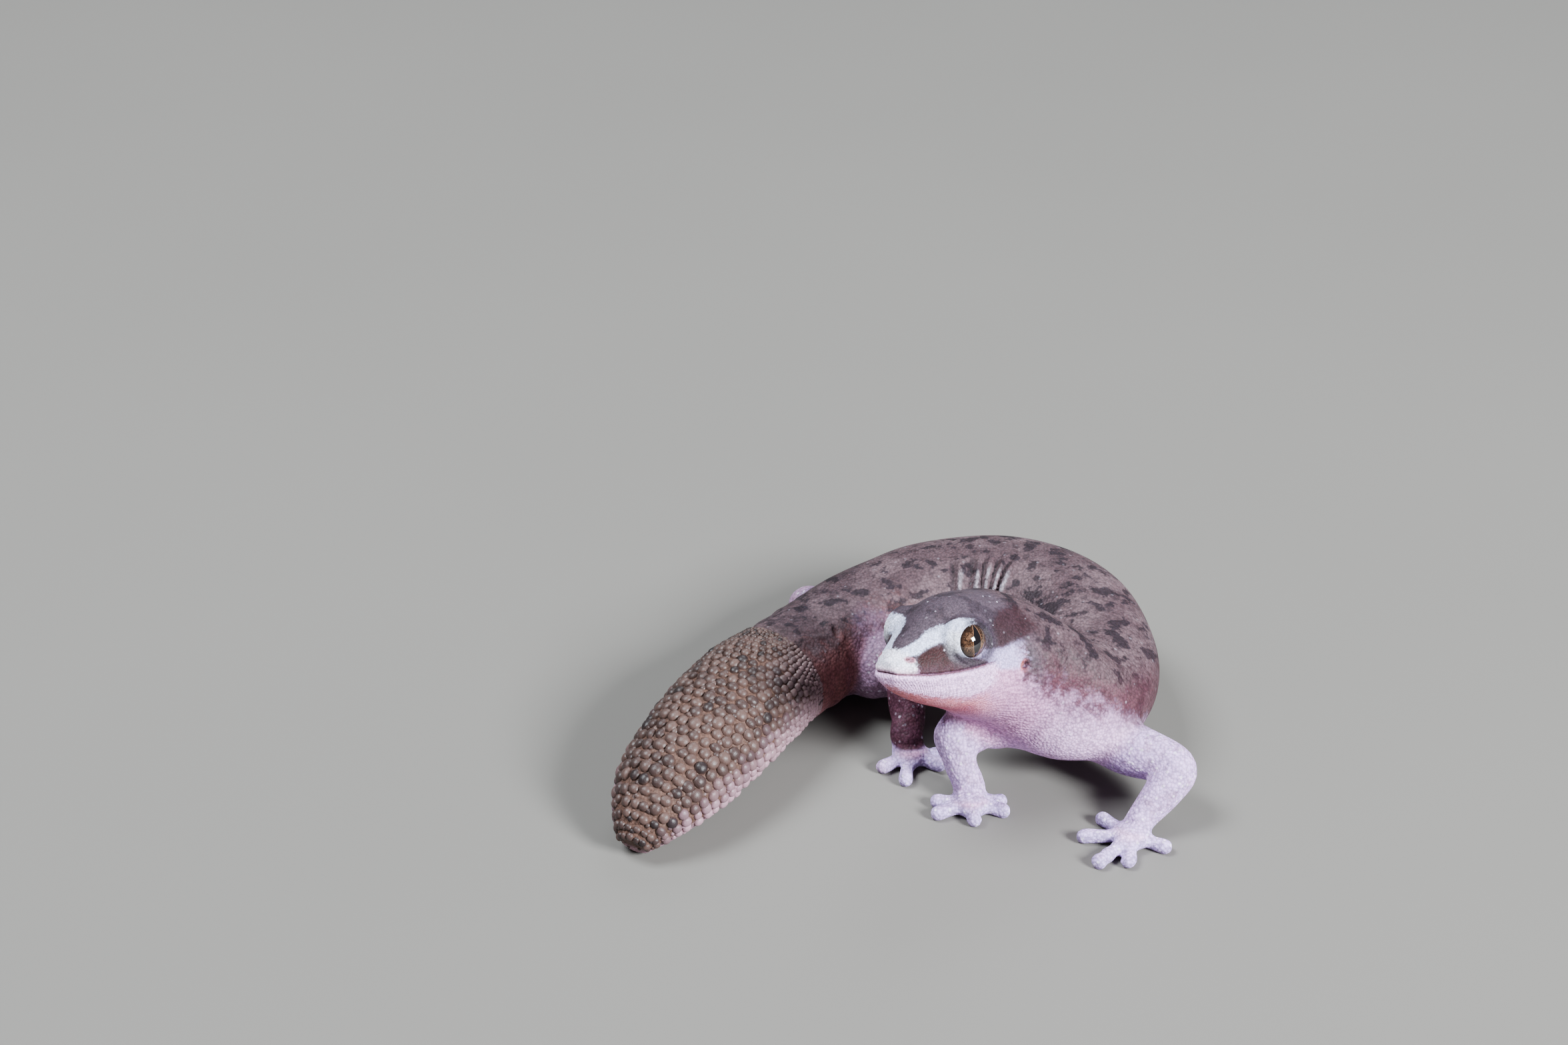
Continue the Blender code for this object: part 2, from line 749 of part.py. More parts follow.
def part_body(body):
    """Cut the body along its length into its nodes."""
    centres, _, _, ahead, _ = body_frames()
    cutters = []
    for name, station, radius in CUTS:
        here = int(round(station * STEPS))
        cutters.append(disc(name, centres[here], ahead[here], radius))
    combine(body, cutters, "DIFFERENCE")
    stations = [0.0] + [station for _, station, _ in CUTS] + [25.0]
    names = ["head"] + [name for name, _, _ in CUTS]
    places = {}
    for name, low, high in zip(names, stations, stations[1:]):
        places[name] = centres[int((low + high) * STEPS / 2)]
    hide, tail = paint("hide", 0.6), paint("tail", 0.65)
    return parted(body, places, lambda node: tail if node == "tail" else hide)


def main():
    clear_scene()
    body = make_body_skin()
    for name in LIMBS:
        make_limb(name, body)
    scales = tail_scales(surface_of(body))
    nodes = part_body(body)
    detail_head(nodes["head"])
    cover_tail(nodes["tail"], scales)
    iris = paint("eye", 0.1)
    for side in (1, -1):
        make_eye(side, iris)


main()
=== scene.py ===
"""Looks of a desert fat-tailed gecko: one skin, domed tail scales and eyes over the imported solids.

Sizes are millimetres in the animal's own layout, as in the solids, and meshes are made in metres.
"""
import math
import random

import bmesh
import bpy
import numpy as np
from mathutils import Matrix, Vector
from mathutils.bvhtree import BVHTree

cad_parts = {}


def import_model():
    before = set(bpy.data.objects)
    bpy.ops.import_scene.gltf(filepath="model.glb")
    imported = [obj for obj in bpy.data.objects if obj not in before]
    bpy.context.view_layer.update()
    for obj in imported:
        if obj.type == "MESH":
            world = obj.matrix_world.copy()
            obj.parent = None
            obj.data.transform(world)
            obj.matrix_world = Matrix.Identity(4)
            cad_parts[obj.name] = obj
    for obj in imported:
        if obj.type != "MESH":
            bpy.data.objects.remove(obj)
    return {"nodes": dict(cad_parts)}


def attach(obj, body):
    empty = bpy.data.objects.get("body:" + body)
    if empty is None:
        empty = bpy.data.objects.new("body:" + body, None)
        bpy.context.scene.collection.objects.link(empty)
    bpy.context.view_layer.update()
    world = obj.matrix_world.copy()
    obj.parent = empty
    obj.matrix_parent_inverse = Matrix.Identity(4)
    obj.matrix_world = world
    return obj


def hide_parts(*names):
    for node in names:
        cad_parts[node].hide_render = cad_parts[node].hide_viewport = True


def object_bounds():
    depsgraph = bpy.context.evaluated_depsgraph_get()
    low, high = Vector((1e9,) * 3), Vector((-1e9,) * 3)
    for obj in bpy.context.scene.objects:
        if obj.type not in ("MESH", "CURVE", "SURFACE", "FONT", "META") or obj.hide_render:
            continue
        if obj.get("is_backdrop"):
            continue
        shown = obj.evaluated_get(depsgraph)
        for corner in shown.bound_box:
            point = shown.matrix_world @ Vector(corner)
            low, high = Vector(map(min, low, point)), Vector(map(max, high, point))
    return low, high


# A millimetre in metres, the place of the origin in the layout, steps of the spine between two
# sections, and rounds that even out its turns
MM = 0.001
CENTRE = np.array([0.51, 1.11, 0.0])
STEPS = 6
NAPE_EASING = 240

# Fineness of the skin: all over, and how far behind the snout and beside its axis it is made
# twice as fine
SKIN_VOXEL = 0.205
FINE_HEAD = 8.6
FINE_REACH = 7.5

# Head: its place, its turn and its size
HEAD_LENGTH = 11.6
HEAD_REAR = np.array([6.5, -4.7, 11.6])
HEAD_YAW = math.radians(46)
HEAD_PITCH = math.radians(17)
HEAD_ROLL = math.radians(16.4)

# Head sections: share of head length behind the snout, half width, height above, depth below
# and squareness of the upper half
HEAD_SECTIONS = (
    (0.030, 1.05, 1.05, 0.85, 2.0),
    (0.110, 1.85, 1.85, 1.45, 1.9),
    (0.240, 2.75, 2.85, 2.25, 1.8),
    (0.400, 3.65, 4.15, 3.00, 1.9),
    (0.560, 4.40, 5.05, 3.55, 2.1),
    (0.720, 4.85, 5.30, 4.15, 2.2),
    (0.880, 5.10, 5.25, 4.90, 2.2),
    (1.020, 5.05, 5.20, 5.30, 2.2),
)
BODY_SQUARENESS = 2.2

# Spine from the neck back: place of the axis, then half width, height above and depth below
BODY_SECTIONS = (
    (9.6, -4.6, 10.0, 4.75, 5.40, 5.50),
    (12.4, -4.7, 8.1, 5.15, 5.40, 5.50),
    (14.6, -3.4, 6.6, 5.40, 4.60, 4.90),
    (16.0, -0.6, 6.1, 5.50, 4.40, 4.40),
    (16.3, 2.8, 6.0, 5.55, 4.45, 4.20),
    (15.4, 7.7, 6.0, 5.70, 4.45, 4.20),
    (12.9, 11.1, 5.9, 5.80, 4.45, 4.15),
    (8.8, 12.8, 5.8, 5.70, 4.45, 4.10),
    (3.2, 12.2, 5.6, 5.45, 4.30, 4.10),
    (-0.2, 10.5, 5.4, 5.10, 4.15, 4.30),
    (-3.3, 8.4, 5.2, 4.95, 4.00, 4.60),
    (-6.7, 5.1, 5.0, 4.60, 3.90, 4.60),
    (-9.3, 2.2, 4.9, 4.60, 4.00, 4.50),
    (-11.7, -0.8, 4.7, 4.95, 4.20, 4.25),
    (-15.0, -6.3, 4.3, 4.95, 4.00, 3.80),
    (-18.2, -11.4, 3.3, 4.15, 3.20, 3.00),
    (-19.9, -14.3, 2.3, 2.70, 2.10, 2.25),
    (-20.8, -16.0, 1.4, 1.20, 0.90, 1.45),
)

# Limbs: joints from the root to the wrist or ankle, each with its radius
LIMBS = {
    "left_fore": (
        (16.0, -4.8, 4.6, 2.6), (18.5, -7.2, 4.2, 2.25), (21.9, -10.0, 4.4, 1.65),
        (21.0, -11.3, 3.2, 1.55), (19.3, -12.6, 1.6, 1.20), (18.7, -13.3, 1.1, 1.15),
    ),
    "right_fore": (
        (12.4, -3.4, 4.9, 1.9), (8.6, -5.2, 4.6, 1.75), (4.6, -6.2, 5.2, 1.60),
        (4.9, -7.3, 3.6, 1.40), (5.7, -8.3, 1.7, 1.35), (5.8, -9.1, 1.2, 1.25),
    ),
    "left_hind": (
        (-4.2, 9.4, 4.9, 2.5), (-5.6, 11.0, 4.9, 2.2), (-6.9, 12.3, 4.8, 1.75),
        (-6.5, 14.2, 3.3, 1.50), (-5.8, 16.0, 1.7, 1.20), (-5.3, 16.6, 1.2, 1.10),
    ),
    "right_hind": (
        (-2.7, 6.4, 4.4, 3.5), (-0.9, 4.5, 4.4, 3.2), (1.1, 2.8, 4.9, 2.10),
        (1.2, 0.4, 3.6, 1.60), (1.1, -2.2, 1.8, 1.35), (1.2, -2.8, 1.2, 1.25),
    ),
}

# Feet: middle of the palm and the five toe ends, in plan
FEET = {
    "left_fore": (
        (18.3, -14.0),
        ((15.8, -11.2), (13.9, -13.8), (15.0, -17.4), (17.6, -17.5), (21.3, -15.4)),
    ),
    "right_fore": (
        (5.9, -9.9),
        ((2.6, -9.3), (2.6, -11.2), (6.1, -12.4), (8.9, -9.0), (9.0, -10.8)),
    ),
    "left_hind": (
        (-4.8, 16.9),
        ((-7.2, 18.3), (-5.0, 19.7), (-2.8, 19.7), (-1.4, 18.0), (-2.4, 15.5)),
    ),
    "right_hind": (
        (1.3, -3.5),
        ((1.7, -0.9), (-1.5, -5.2), (0.7, -7.2), (4.3, -4.9), (4.0, -3.1)),
    ),
}
PALM_RADIUS = 1.55
PALM_HEIGHT = 0.75
PALM_HALF_HEIGHT = 0.95
TOE_RADIUS = 0.62
TOE_HEIGHT = 0.50

# Toes: share of the way to the tip, girth as a share of the radius, and lift
TOE_ROWS = ((0.0, 1.0, 0.35), (0.35, 0.88, 0.10), (0.7, 0.92, 0.02), (1.0, 1.02, 0.0))

# Eyes: places in the head, brows, opening and rims of the lids, and pupil
EYE_RADIUS = 1.62
EYE_BACK = 6.20
EYE_SIDE = 2.85
EYE_UP = 2.20
EYE_TURN = (0.32, 0.93, 0.11)
BROW_RADII = (2.35, 1.45, 2.05)
LID_OPENING = (1.47, 1.38)
LID_STAND = 0.20
LID_SHIFT = 0.13
LID_BEADS = 34
PUPIL_HALF = 0.29
PUPIL_HEIGHT = 1.32

# Mouth: turn about a point inside the head, and height of the line there
MOUTH_PIVOT_BACK = 4.0
MOUTH_LINE = (
    (0, 0.10), (30, 0.05), (60, -0.05), (85, 0.00),
    (105, 0.10), (120, 0.35), (130, 0.65),
)
MOUTH_DEPTH = 0.20
MOUTH_WIDTH = 0.085

# Nostril and ear: places behind the snout and up from the mouth, half sizes and depth
NOSTRIL = (1.36, 1.16)
NOSTRIL_HALF = (0.20, 0.15)
EAR = (10.15, 0.10)
EAR_HALF = (0.26, 0.46)
EAR_LEAN = 0.25
PIT_DEPTH = 0.45

# Edges of the head's markings, as pairs of a place behind the snout and a place there:
# out from the middle for the pale stripe, and up from the mouth for the others
STRIPE_INNER = (
    (1.0, 0.1), (1.83, 0.66), (2.66, 0.96), (3.6, 1.18),
    (4.64, 1.82), (5.25, 2.7), (5.8, 3.35), (8.0, 3.8),
)
STRIPE_OUTER = (
    (1.0, 1.1), (1.47, 1.43), (2.27, 1.76), (3.16, 2.05),
    (3.81, 2.6), (4.17, 3.5), (4.62, 4.0), (8.0, 4.4),
)
STRIPE_SOFTNESS = ((1.0, 0.14), (4.0, 0.38))
BAND_LOW = (
    (4.6, 1.35), (5.2, 1.15), (6.0, 0.98), (6.7, 0.80),
    (7.3, 0.42), (8.2, 0.0), (10.5, -0.3),
)
LOREAL_TOP = (
    (1.5, 0.8), (1.9, 1.25), (2.4, 1.62), (3.2, 2.0),
    (3.8, 2.3), (4.2, 1.9), (4.6, 1.35),
)
STREAK_LOW = ((7.2, 1.6), (8.5, 1.5), (9.6, 1.85), (10.6, 2.15), (12.0, 2.3))
STREAK_TOP = ((7.2, 2.7), (8.0, 3.2), (9.5, 4.0), (11.5, 4.3), (13.0, 4.4))
LIP_LOW = (
    (0.3, -0.8), (1.5, -1.35), (3.0, -1.80), (4.7, -2.05),
    (6.1, -1.95), (7.6, -1.4), (9.0, -1.0),
)

# Flesh of the cheek and neck, filling the inside of the bend behind the left jaw, and where
# the skin behind the jaw is eased
CHEEK = (9.1, -5.9, 10.9)
CHEEK_RADII = (4.6, 4.20, 4.8)
EASED_FROM = (7.6, 9.6)
EASED_REACH = (6.5, 10.0)
EASED_MIDDLE = (10.5, -5.5, 9.5)
EASING_ROUNDS = 190

# Folds of the flank that bends in behind the head: stations and slants
FLANK_FOLDS = ((14.52, -0.34), (14.76, -0.30), (15.02, -0.22), (15.22, -0.16), (15.52, -0.06))
FOLD_RISE = 0.40
FOLD_WIDTH = 0.058

# Tail scales: stations, distance apart there, share of the distance filled, rise and sides
SCALE_STATIONS = (20.05, 20.5, 21.0, 21.8, 23.3, 24.2, 24.95)
SCALE_SPACINGS = (0.42, 0.60, 0.88, 1.10, 1.08, 0.90, 0.62)
SCALE_FILL = 0.50
SCALE_SIZES = (0.80, 1.08)
SCALE_PROFILE = ((1.04, -0.30), (1.00, 0.08), (0.91, 0.32), (0.71, 0.54), (0.39, 0.69))
SCALE_TOP = 0.73
SCALE_SIDES = 10
SCALE_LOWEST = 0.35
SCALE_FACING = -0.45
SCALE_PATCH = 0.003
SMALL_SCALES = 0.45

# Tail scales: how far rows stand apart and how far scales stray, as shares of their distance
# apart, how far round they go, points of the ring they are set out on, and share of dark ones
SCALE_ROWS = 0.86
SCALE_SHIFT = 0.11
SCALE_SLIP = 0.12
SMALL_SLIP = 0.38
SCALE_REACH = 0.97
RING_POINTS = 240
DARK_SCALES = 0.02

# Painted light on the scales of the inner side of the tail's root, which lie in shade: how far back, as
# a share of the spine
ROOT_LIGHT_REACH = 0.075

# Camera of the photo: its place in the layout, tilt below level and lens
CAMERA = np.array([-9.02, -174.92, 130.09])
CAMERA_TILT = 31.97
CAMERA_LENS = 60.0

# Grains of the skin in millimetres: all over and on the face
GRAIN = 0.235
FACE_GRAIN = 0.15

# Finishes, as linear colour
BACK = (0.060, 0.034, 0.041)
BACK_DARK = (0.010, 0.006, 0.010)
BACK_LIGHT = (0.108, 0.067, 0.077)
FLANK = (0.042, 0.012, 0.018)
CROWN = (0.062, 0.042, 0.057)
CREAM = (0.84, 0.75, 0.91)
STRIPE = (0.60, 0.62, 0.84)
SNOUT_WHITE = (0.84, 0.80, 0.95)
SNOUT_PINK = (0.78, 0.46, 0.58)
LOREAL = (0.028, 0.0070, 0.0075)
STREAK = (0.024, 0.008, 0.011)
BAND = (0.47, 0.38, 0.68)
LIP = (0.80, 0.49, 0.82)
CHEEK_TONE = (0.58, 0.27, 0.47)
# Painted red-orange bounce light from the ground, for the throat's lower edge
CHIN_BOUNCE_LIGHT = (0.72, 0.22, 0.25)
THROAT_BOUNCE_LIGHT = (0.52, 0.10, 0.12)
NECK = (0.46, 0.26, 0.44)
NECK_TOP = (0.092, 0.027, 0.038)
NECK_DARK = (0.080, 0.026, 0.041)
# Pale chest colour, made paler still as painted light where the chest faces down into shade
CHEST_TONE_AND_PAINTED_LIGHT = (0.70, 0.42, 0.70)
BELLY = (0.50, 0.36, 0.56)
LIMB = (0.50, 0.33, 0.61)
HAND = (0.46, 0.34, 0.64)
LIMB_DARK = (0.20, 0.10, 0.14)
THIGH = (0.26, 0.145, 0.21)
# Lower hind legs: partly their own dark colour, partly painted shade with red bounce light
SHANK_AND_PAINTED_SHADE = (0.055, 0.012, 0.018)
# Groin colour, made paler and warmer as painted light on the inner flank, which lies in shade
GROIN_TONE_AND_PAINTED_LIGHT = (0.25, 0.090, 0.090)
FOLD = (0.27, 0.24, 0.28)
# Painted shade for the mouth's slit and the nostril's opening
SLIT_AND_PIT_SHADE = (0.10, 0.030, 0.035)
EAR_RED = (0.42, 0.09, 0.06)
NOSTRIL_PINK = (0.42, 0.16, 0.22)
TAIL_SKIN = (0.095, 0.050, 0.038)
TAIL_LOW = (0.33, 0.190, 0.232)
TAIL_SCALE = (0.033, 0.0180, 0.0165)
TAIL_SCALE_LIGHT = (0.080, 0.045, 0.038)
TAIL_SCALE_DARK = (0.008, 0.005, 0.006)
# Painted light for the shaded scales inside the tail's root
TAIL_ROOT_PAINTED_LIGHT = (0.22, 0.135, 0.145)
IRIS = (0.052, 0.023, 0.012)
IRIS_DARK = (0.007, 0.003, 0.002)
IRIS_EDGE = (0.130, 0.064, 0.035)
PUPIL = (0.004, 0.003, 0.004)
LID_FRONT = (0.72, 0.71, 0.80)
LID_DARK = (0.034, 0.023, 0.035)
FLOOR = (0.125, 0.115, 0.104)
FLOOR_LIGHT = (0.138, 0.127, 0.115)

# Markings of the face in the order they are laid on, with strength and colour
FACE_LAYERS = (
    ("band", 0.85, BAND),
    ("streak", 0.85, STREAK),
    ("lip", 0.90, LIP),
    ("stripe", 0.92, STRIPE),
    ("loreal", 0.95, LOREAL),
)

# Studio: half the floor's width in metres, and for each lamp its direction from the animal, its
# distance and width in metres, its power and its colour
FLOOR_HALF = 4
LAMPS = {
    "flash": ((0.76, -0.62, 0.60), 0.60, 0.17, 16.5, (0.88, 0.95, 1.0)),
    "fill": ((-0.55, 0.05, 1.0), 0.60, 0.24, 8.0, (0.86, 0.94, 1.0)),
    "back": ((0.2, 1.0, 0.9), 0.80, 0.30, 2.4, (0.86, 0.94, 1.0)),
}
SKY = (0.86, 0.88, 0.92, 1.0)
SKY_STRENGTH = 0.16


# Body shape

def head_axes():
    """Forward, left and up of the head."""
    sin_y, cos_y = math.sin(HEAD_YAW), math.cos(HEAD_YAW)
    sin_p, cos_p = math.sin(HEAD_PITCH), math.cos(HEAD_PITCH)
    forward = np.array([-sin_y * cos_p, -cos_y * cos_p, sin_p])
    level = np.array([cos_y, -sin_y, 0.0])
    upright = np.cross(forward, level)
    left = math.cos(HEAD_ROLL) * level + math.sin(HEAD_ROLL) * upright
    return forward, left, np.cross(forward, left)


FORWARD, LEFT, UP = head_axes()
SNOUT = HEAD_REAR + HEAD_LENGTH * FORWARD


def in_head(back, side, up):
    """A point of the head, from its snout."""
    return SNOUT - back * FORWARD + side * LEFT + up * UP


def unit(vector):
    vector = np.asarray(vector, float)
    return vector / np.linalg.norm(vector, axis=-1, keepdims=True)


def smooth_path(points, steps):
    """Catmull-Rom curve through rows of numbers."""
    rows = np.asarray(points, float)
    rows = np.vstack([2 * rows[0] - rows[1], rows, 2 * rows[-1] - rows[-2]])
    out = []
    for i in range(1, len(rows) - 2):
        a, b, c, d = rows[i - 1 : i + 3]
        for t in np.arange(steps) / steps:
            curve = 2 * b + (c - a) * t + (2 * a - 5 * b + 4 * c - d) * t**2
            out.append(0.5 * (curve + (3 * b - a - 3 * c + d) * t**3))
    out.append(rows[-2])
    return np.array(out)


def body_frames():
    """Centres, axes and sizes of all sections from the snout to the tail tip."""
    rows = []
    for share, *sizes in HEAD_SECTIONS:
        rows.append((*in_head(share * HEAD_LENGTH, 0, 0), *sizes, *UP))
    for row in BODY_SECTIONS:
        rows.append((*row, BODY_SQUARENESS, 0.0, 0.0, 1.0))
    path = smooth_path(rows, STEPS)
    ahead = unit(-np.gradient(path[:, :3], axis=0))
    for _ in range(NAPE_EASING):
        ahead[1:-1] = (ahead[:-2] + 2 * ahead[1:-1] + ahead[2:]) / 4
    ahead = unit(ahead)
    up = path[:, 7:10]
    up = unit(up - (up * ahead).sum(1)[:, None] * ahead)
    return path[:, :3], np.cross(up, ahead), up, ahead, path[:, 3:7]


CENTRES, LEFTS, UPS, AHEADS, SECTION_SIZES = body_frames()


def to_world(points):
    """Layout millimetres to metres about the origin on the floor."""
    return (np.asarray(points, float) - CENTRE) * MM


def to_layout(points):
    return np.asarray(points, float) / MM + CENTRE


def link(name, mesh):
    obj = bpy.data.objects.new(name, mesh)
    bpy.context.collection.objects.link(obj)
    return obj


def mesh_object(name, verts, faces):
    mesh = bpy.data.meshes.new(name)
    mesh.from_pydata([tuple(v) for v in verts], [], [tuple(f) for f in faces])
    mesh.validate()
    bm = bmesh.new()
    bm.from_mesh(mesh)
    bmesh.ops.recalc_face_normals(bm, faces=bm.faces)
    bm.to_mesh(mesh)
    bm.free()
    return link(name, mesh)


def ring_faces(first, count, around):
    """Faces between neighbouring rings of points, from the number of the first point."""
    faces = []
    for here in range(first, first + (count - 1) * around, around):
        for j in range(around):
            k = (j + 1) % around
            faces.append((here + j, here + k, here + around + k, here + around + j))
    return faces


def loft(name, rings):
    """Skin a row of equal rings and close both ends with a point."""
    rings = np.asarray(rings)
    count, around = rings.shape[:2]
    verts = rings.reshape(-1, 3)
    ends = np.array([rings[0].mean(0), rings[-1].mean(0)])
    faces = ring_faces(0, count, around)
    first, last = count * around, count * around + 1
    for j in range(around):
        k = (j + 1) % around
        faces.append((first, k, j))
        faces.append((last, (count - 1) * around + j, (count - 1) * around + k))
    return mesh_object(name, to_world(np.vstack([verts, ends])), faces)


def section_ring(centre, left, up, half, top, bottom, squareness, around=96):
    """A rounded section, taller above or below its axis as the sizes say."""
    turn = np.arange(around) / around * 2 * math.pi
    cos, sin = np.cos(turn), np.sin(turn)
    power = 2 / np.where(sin > 0, squareness, max(squareness, BODY_SQUARENESS))
    across = half * np.sign(cos) * np.abs(cos) ** power
    height = np.where(sin > 0, top, bottom) * np.sign(sin) * np.abs(sin) ** power
    return centre + across[:, None] * left + height[:, None] * up


def round_ring(centre, side, way, radius, around):
    turn = np.arange(around)[:, None] / around * 2 * math.pi
    return centre + radius * (np.cos(turn) * side + np.sin(turn) * np.cross(side, way))


def make_trunk():
    frames = zip(CENTRES, LEFTS, UPS, SECTION_SIZES)
    return loft("trunk", [section_ring(centre, left, up, *sizes) for centre, left, up, sizes in frames])


def tube(name, joints, around=28, steps=8):
    """A round tube through its joints, each with its radius."""
    path = smooth_path(joints, steps)
    ahead = unit(np.gradient(path[:, :3], axis=0))
    rings = []
    side = np.cross(ahead[0], (0.0, 0.0, 1.0))
    for point, way in zip(path, ahead):
        side = unit(side - side.dot(way) * way)
        rings.append(round_ring(point[:3], side, way, point[3], around))
    return loft(name, rings)


def egg(name, centre, axes, segments=32):
    """An ellipsoid whose half axes are the rows given."""
    mesh = bpy.data.meshes.new(name)
    bm = bmesh.new()
    bmesh.ops.create_uvsphere(bm, u_segments=segments, v_segments=segments * 3 // 5, radius=1.0)
    for vertex in bm.verts:
        vertex.co = to_world(centre + np.array(vertex.co) @ np.asarray(axes))
    bm.to_mesh(mesh)
    bm.free()
    return link(name, mesh)


def toe(name, start, end):
    """A stubby toe from the palm to its blunt end."""
    start, end = np.asarray(start, float), np.asarray(end, float)
    way = unit(end - start)
    tip = end - way * TOE_RADIUS
    rows = []
    for share, girth, lift in TOE_ROWS:
        spot = start + (tip - start) * share
        rows.append((*spot, TOE_HEIGHT + lift, TOE_RADIUS * girth))
    for turn in (30, 60, 85):
        angle = math.radians(turn)
        spot = tip + way * TOE_RADIUS * math.sin(angle)
        rows.append((*spot, TOE_HEIGHT, TOE_RADIUS * math.cos(angle) * 1.02))
    return tube(name, rows)


def foot_pieces(limb):
    palm, toes = FEET[limb]
    axes = np.diag((PALM_RADIUS, PALM_RADIUS, PALM_HALF_HEIGHT))
    pieces = [egg(limb + "_palm", (*palm, PALM_HEIGHT), axes)]
    for number, end in enumerate(toes):
        inner = np.asarray(palm) + (np.asarray(end) - palm) * 0.15
        pieces.append(toe(f"{limb}_toe_{number}", inner, end))
    return pieces


def eye_spot(side):
    return in_head(EYE_BACK, side * EYE_SIDE, EYE_UP)


def eye_axes(side):
    """Outward, along the head and up across the opening of an eye."""
    ahead, out, up = EYE_TURN
    outward = unit(ahead * FORWARD + side * out * LEFT + up * UP)
    along = unit(np.cross(outward, UP)) * side
    return outward, along, np.cross(along, outward) * side


def brow(side):
    """The mound that carries an eye."""
    axes = np.diag(BROW_RADII) @ np.array([FORWARD, LEFT, UP])
    return egg("brow", eye_spot(side), axes)


def apply_modifiers(obj):
    """Replace the object's mesh by the shape its modifiers give."""
    bpy.context.view_layer.update()
    graph = bpy.context.evaluated_depsgraph_get()
    mesh = bpy.data.meshes.new_from_object(obj.evaluated_get(graph))
    obj.modifiers.clear()
    old = obj.data
    obj.data = mesh
    bpy.data.meshes.remove(old)


def smooth_out(obj, rounds, group=""):
    """Smooth the object, or only a group of its points, after the modifiers it has."""
    smooth = obj.modifiers.new("smooth", "SMOOTH")
    smooth.factor = 0.5
    smooth.iterations = rounds
    smooth.vertex_group = group
    apply_modifiers(obj)


def joined(name, pieces):
    """Put the pieces' faces in one mesh, still crossing each other."""
    bm = bmesh.new()
    for piece in pieces:
        bm.from_mesh(piece.data)
        bpy.data.objects.remove(piece, do_unlink=True)
    mesh = bpy.data.meshes.new(name)
    bm.to_mesh(mesh)
    bm.free()
    return link(name, mesh)


def fused(name, pieces, voxel):
    """Fuse crossing pieces in one smooth closed skin."""
    skin = joined(name, pieces)
    remesh = skin.modifiers.new("remesh", "REMESH")
    remesh.mode = "VOXEL"
    remesh.voxel_size = voxel * MM
    smooth_out(skin, 6)
    return skin


# Skin

def spots_of(obj):
    """The object's points in layout millimetres."""
    flat = np.empty(len(obj.data.vertices) * 3)
    obj.data.vertices.foreach_get("co", flat)
    return to_layout(flat.reshape(-1, 3))


def normals_of(obj):
    flat = np.empty(len(obj.data.vertices) * 3)
    obj.data.vertex_normals.foreach_get("vector", flat)
    return flat.reshape(-1, 3)


def move_to(obj, spots):
    obj.data.vertices.foreach_set("co", to_world(spots).ravel())
    obj.data.update()


def ramp(values, low, high):
    """Smooth step from nought at low to one at high; high may be the lower."""
    share = np.clip((np.asarray(values) - low) / (high - low), 0.0, 1.0)
    return share * share * (3 - 2 * share)


def bell(values, middle, width):
    return np.exp(-(((np.asarray(values) - middle) / width) ** 2))


def head_places(spots):
    """Behind the snout, out to the left and up from the mouth."""
    gap = spots - SNOUT
    return -gap @ FORWARD, gap @ LEFT, gap @ UP


def body_places(spots):
    """Station along the spine, and side and height as shares of the section there."""
    stations = np.empty(len(spots))
    sides = np.empty(len(spots))
    heights = np.empty(len(spots))
    for start in range(0, len(spots), 20000):
        part = slice(start, start + 20000)
        gaps = ((spots[part, None, :] - CENTRES[None]) ** 2).sum(2)
        near = gaps.argmin(1)
        gap = spots[part] - CENTRES[near]
        before = np.clip(near - 1, 0, None)
        after = np.clip(near + 1, None, len(CENTRES) - 1)
        pitch = np.linalg.norm(CENTRES[after] - CENTRES[before], axis=1) / (after - before)
        stations[part] = (near - (gap * AHEADS[near]).sum(1) / pitch) / STEPS
        half, top, bottom, _ = SECTION_SIZES[near].T
        height = (gap * UPS[near]).sum(1)
        sides[part] = (gap * LEFTS[near]).sum(1) / half
        heights[part] = height / np.where(height > 0, top, bottom)
    return stations, sides, heights


def ease_neck(skin):
    """Smooth the skin behind the jaw, where head and neck meet at an angle."""
    spots = spots_of(skin)
    back = head_places(spots)[0]
    start = np.interp(back, EASED_FROM, (0.0, 1.0))
    near = np.interp(np.linalg.norm(spots - np.array(EASED_MIDDLE), axis=1), EASED_REACH, (1.0, 0.0))
    weights = start * near
    group = skin.vertex_groups.new(name="eased")
    for index in np.nonzero(weights > 0)[0]:
        group.add([int(index)], float(weights[index]), "REPLACE")
    smooth_out(skin, EASING_ROUNDS, group.name)


def refine_head(skin):
    """Make the skin of the face twice as fine."""
    bm = bmesh.new()
    bm.from_mesh(skin.data)
    edges = []
    for edge in bm.edges:
        middle = to_layout((np.array(edge.verts[0].co) + np.array(edge.verts[1].co)) / 2)
        back = (SNOUT - middle).dot(FORWARD)
        beside = np.linalg.norm(middle - in_head(back, 0, 0))
        if back < FINE_HEAD and beside < FINE_REACH:
            edges.append(edge)
    bmesh.ops.subdivide_edges(bm, edges=edges, cuts=1, use_grid_fill=True)
    bmesh.ops.triangulate(bm, faces=[face for face in bm.faces if len(face.verts) > 4])
    bm.to_mesh(skin.data)
    bm.free()
    smooth_out(skin, 2)


def mouth_places(spots):
    """Turn about the mouth's pivot in degrees, and height above the mouth line."""
    back, side, up = head_places(spots)
    turn = np.degrees(np.arctan2(np.abs(side), MOUTH_PIVOT_BACK - back))
    line = smooth_path(MOUTH_LINE, 8)
    return turn, up - np.interp(turn, line[:, 0], line[:, 1])


def nostril_reach(back, up):
    """How far from the middle of a nostril, in its own half sizes."""
    return np.hypot((back - NOSTRIL[0]) / NOSTRIL_HALF[0], (up - NOSTRIL[1]) / NOSTRIL_HALF[1])


def ear_reach(back, up):
    """How far from the middle of an ear, which leans, in its own half sizes."""
    lean = (up - EAR[1]) * EAR_LEAN
    return np.hypot((back - EAR[0] - lean) / EAR_HALF[0], (up - EAR[1]) / EAR_HALF[1])


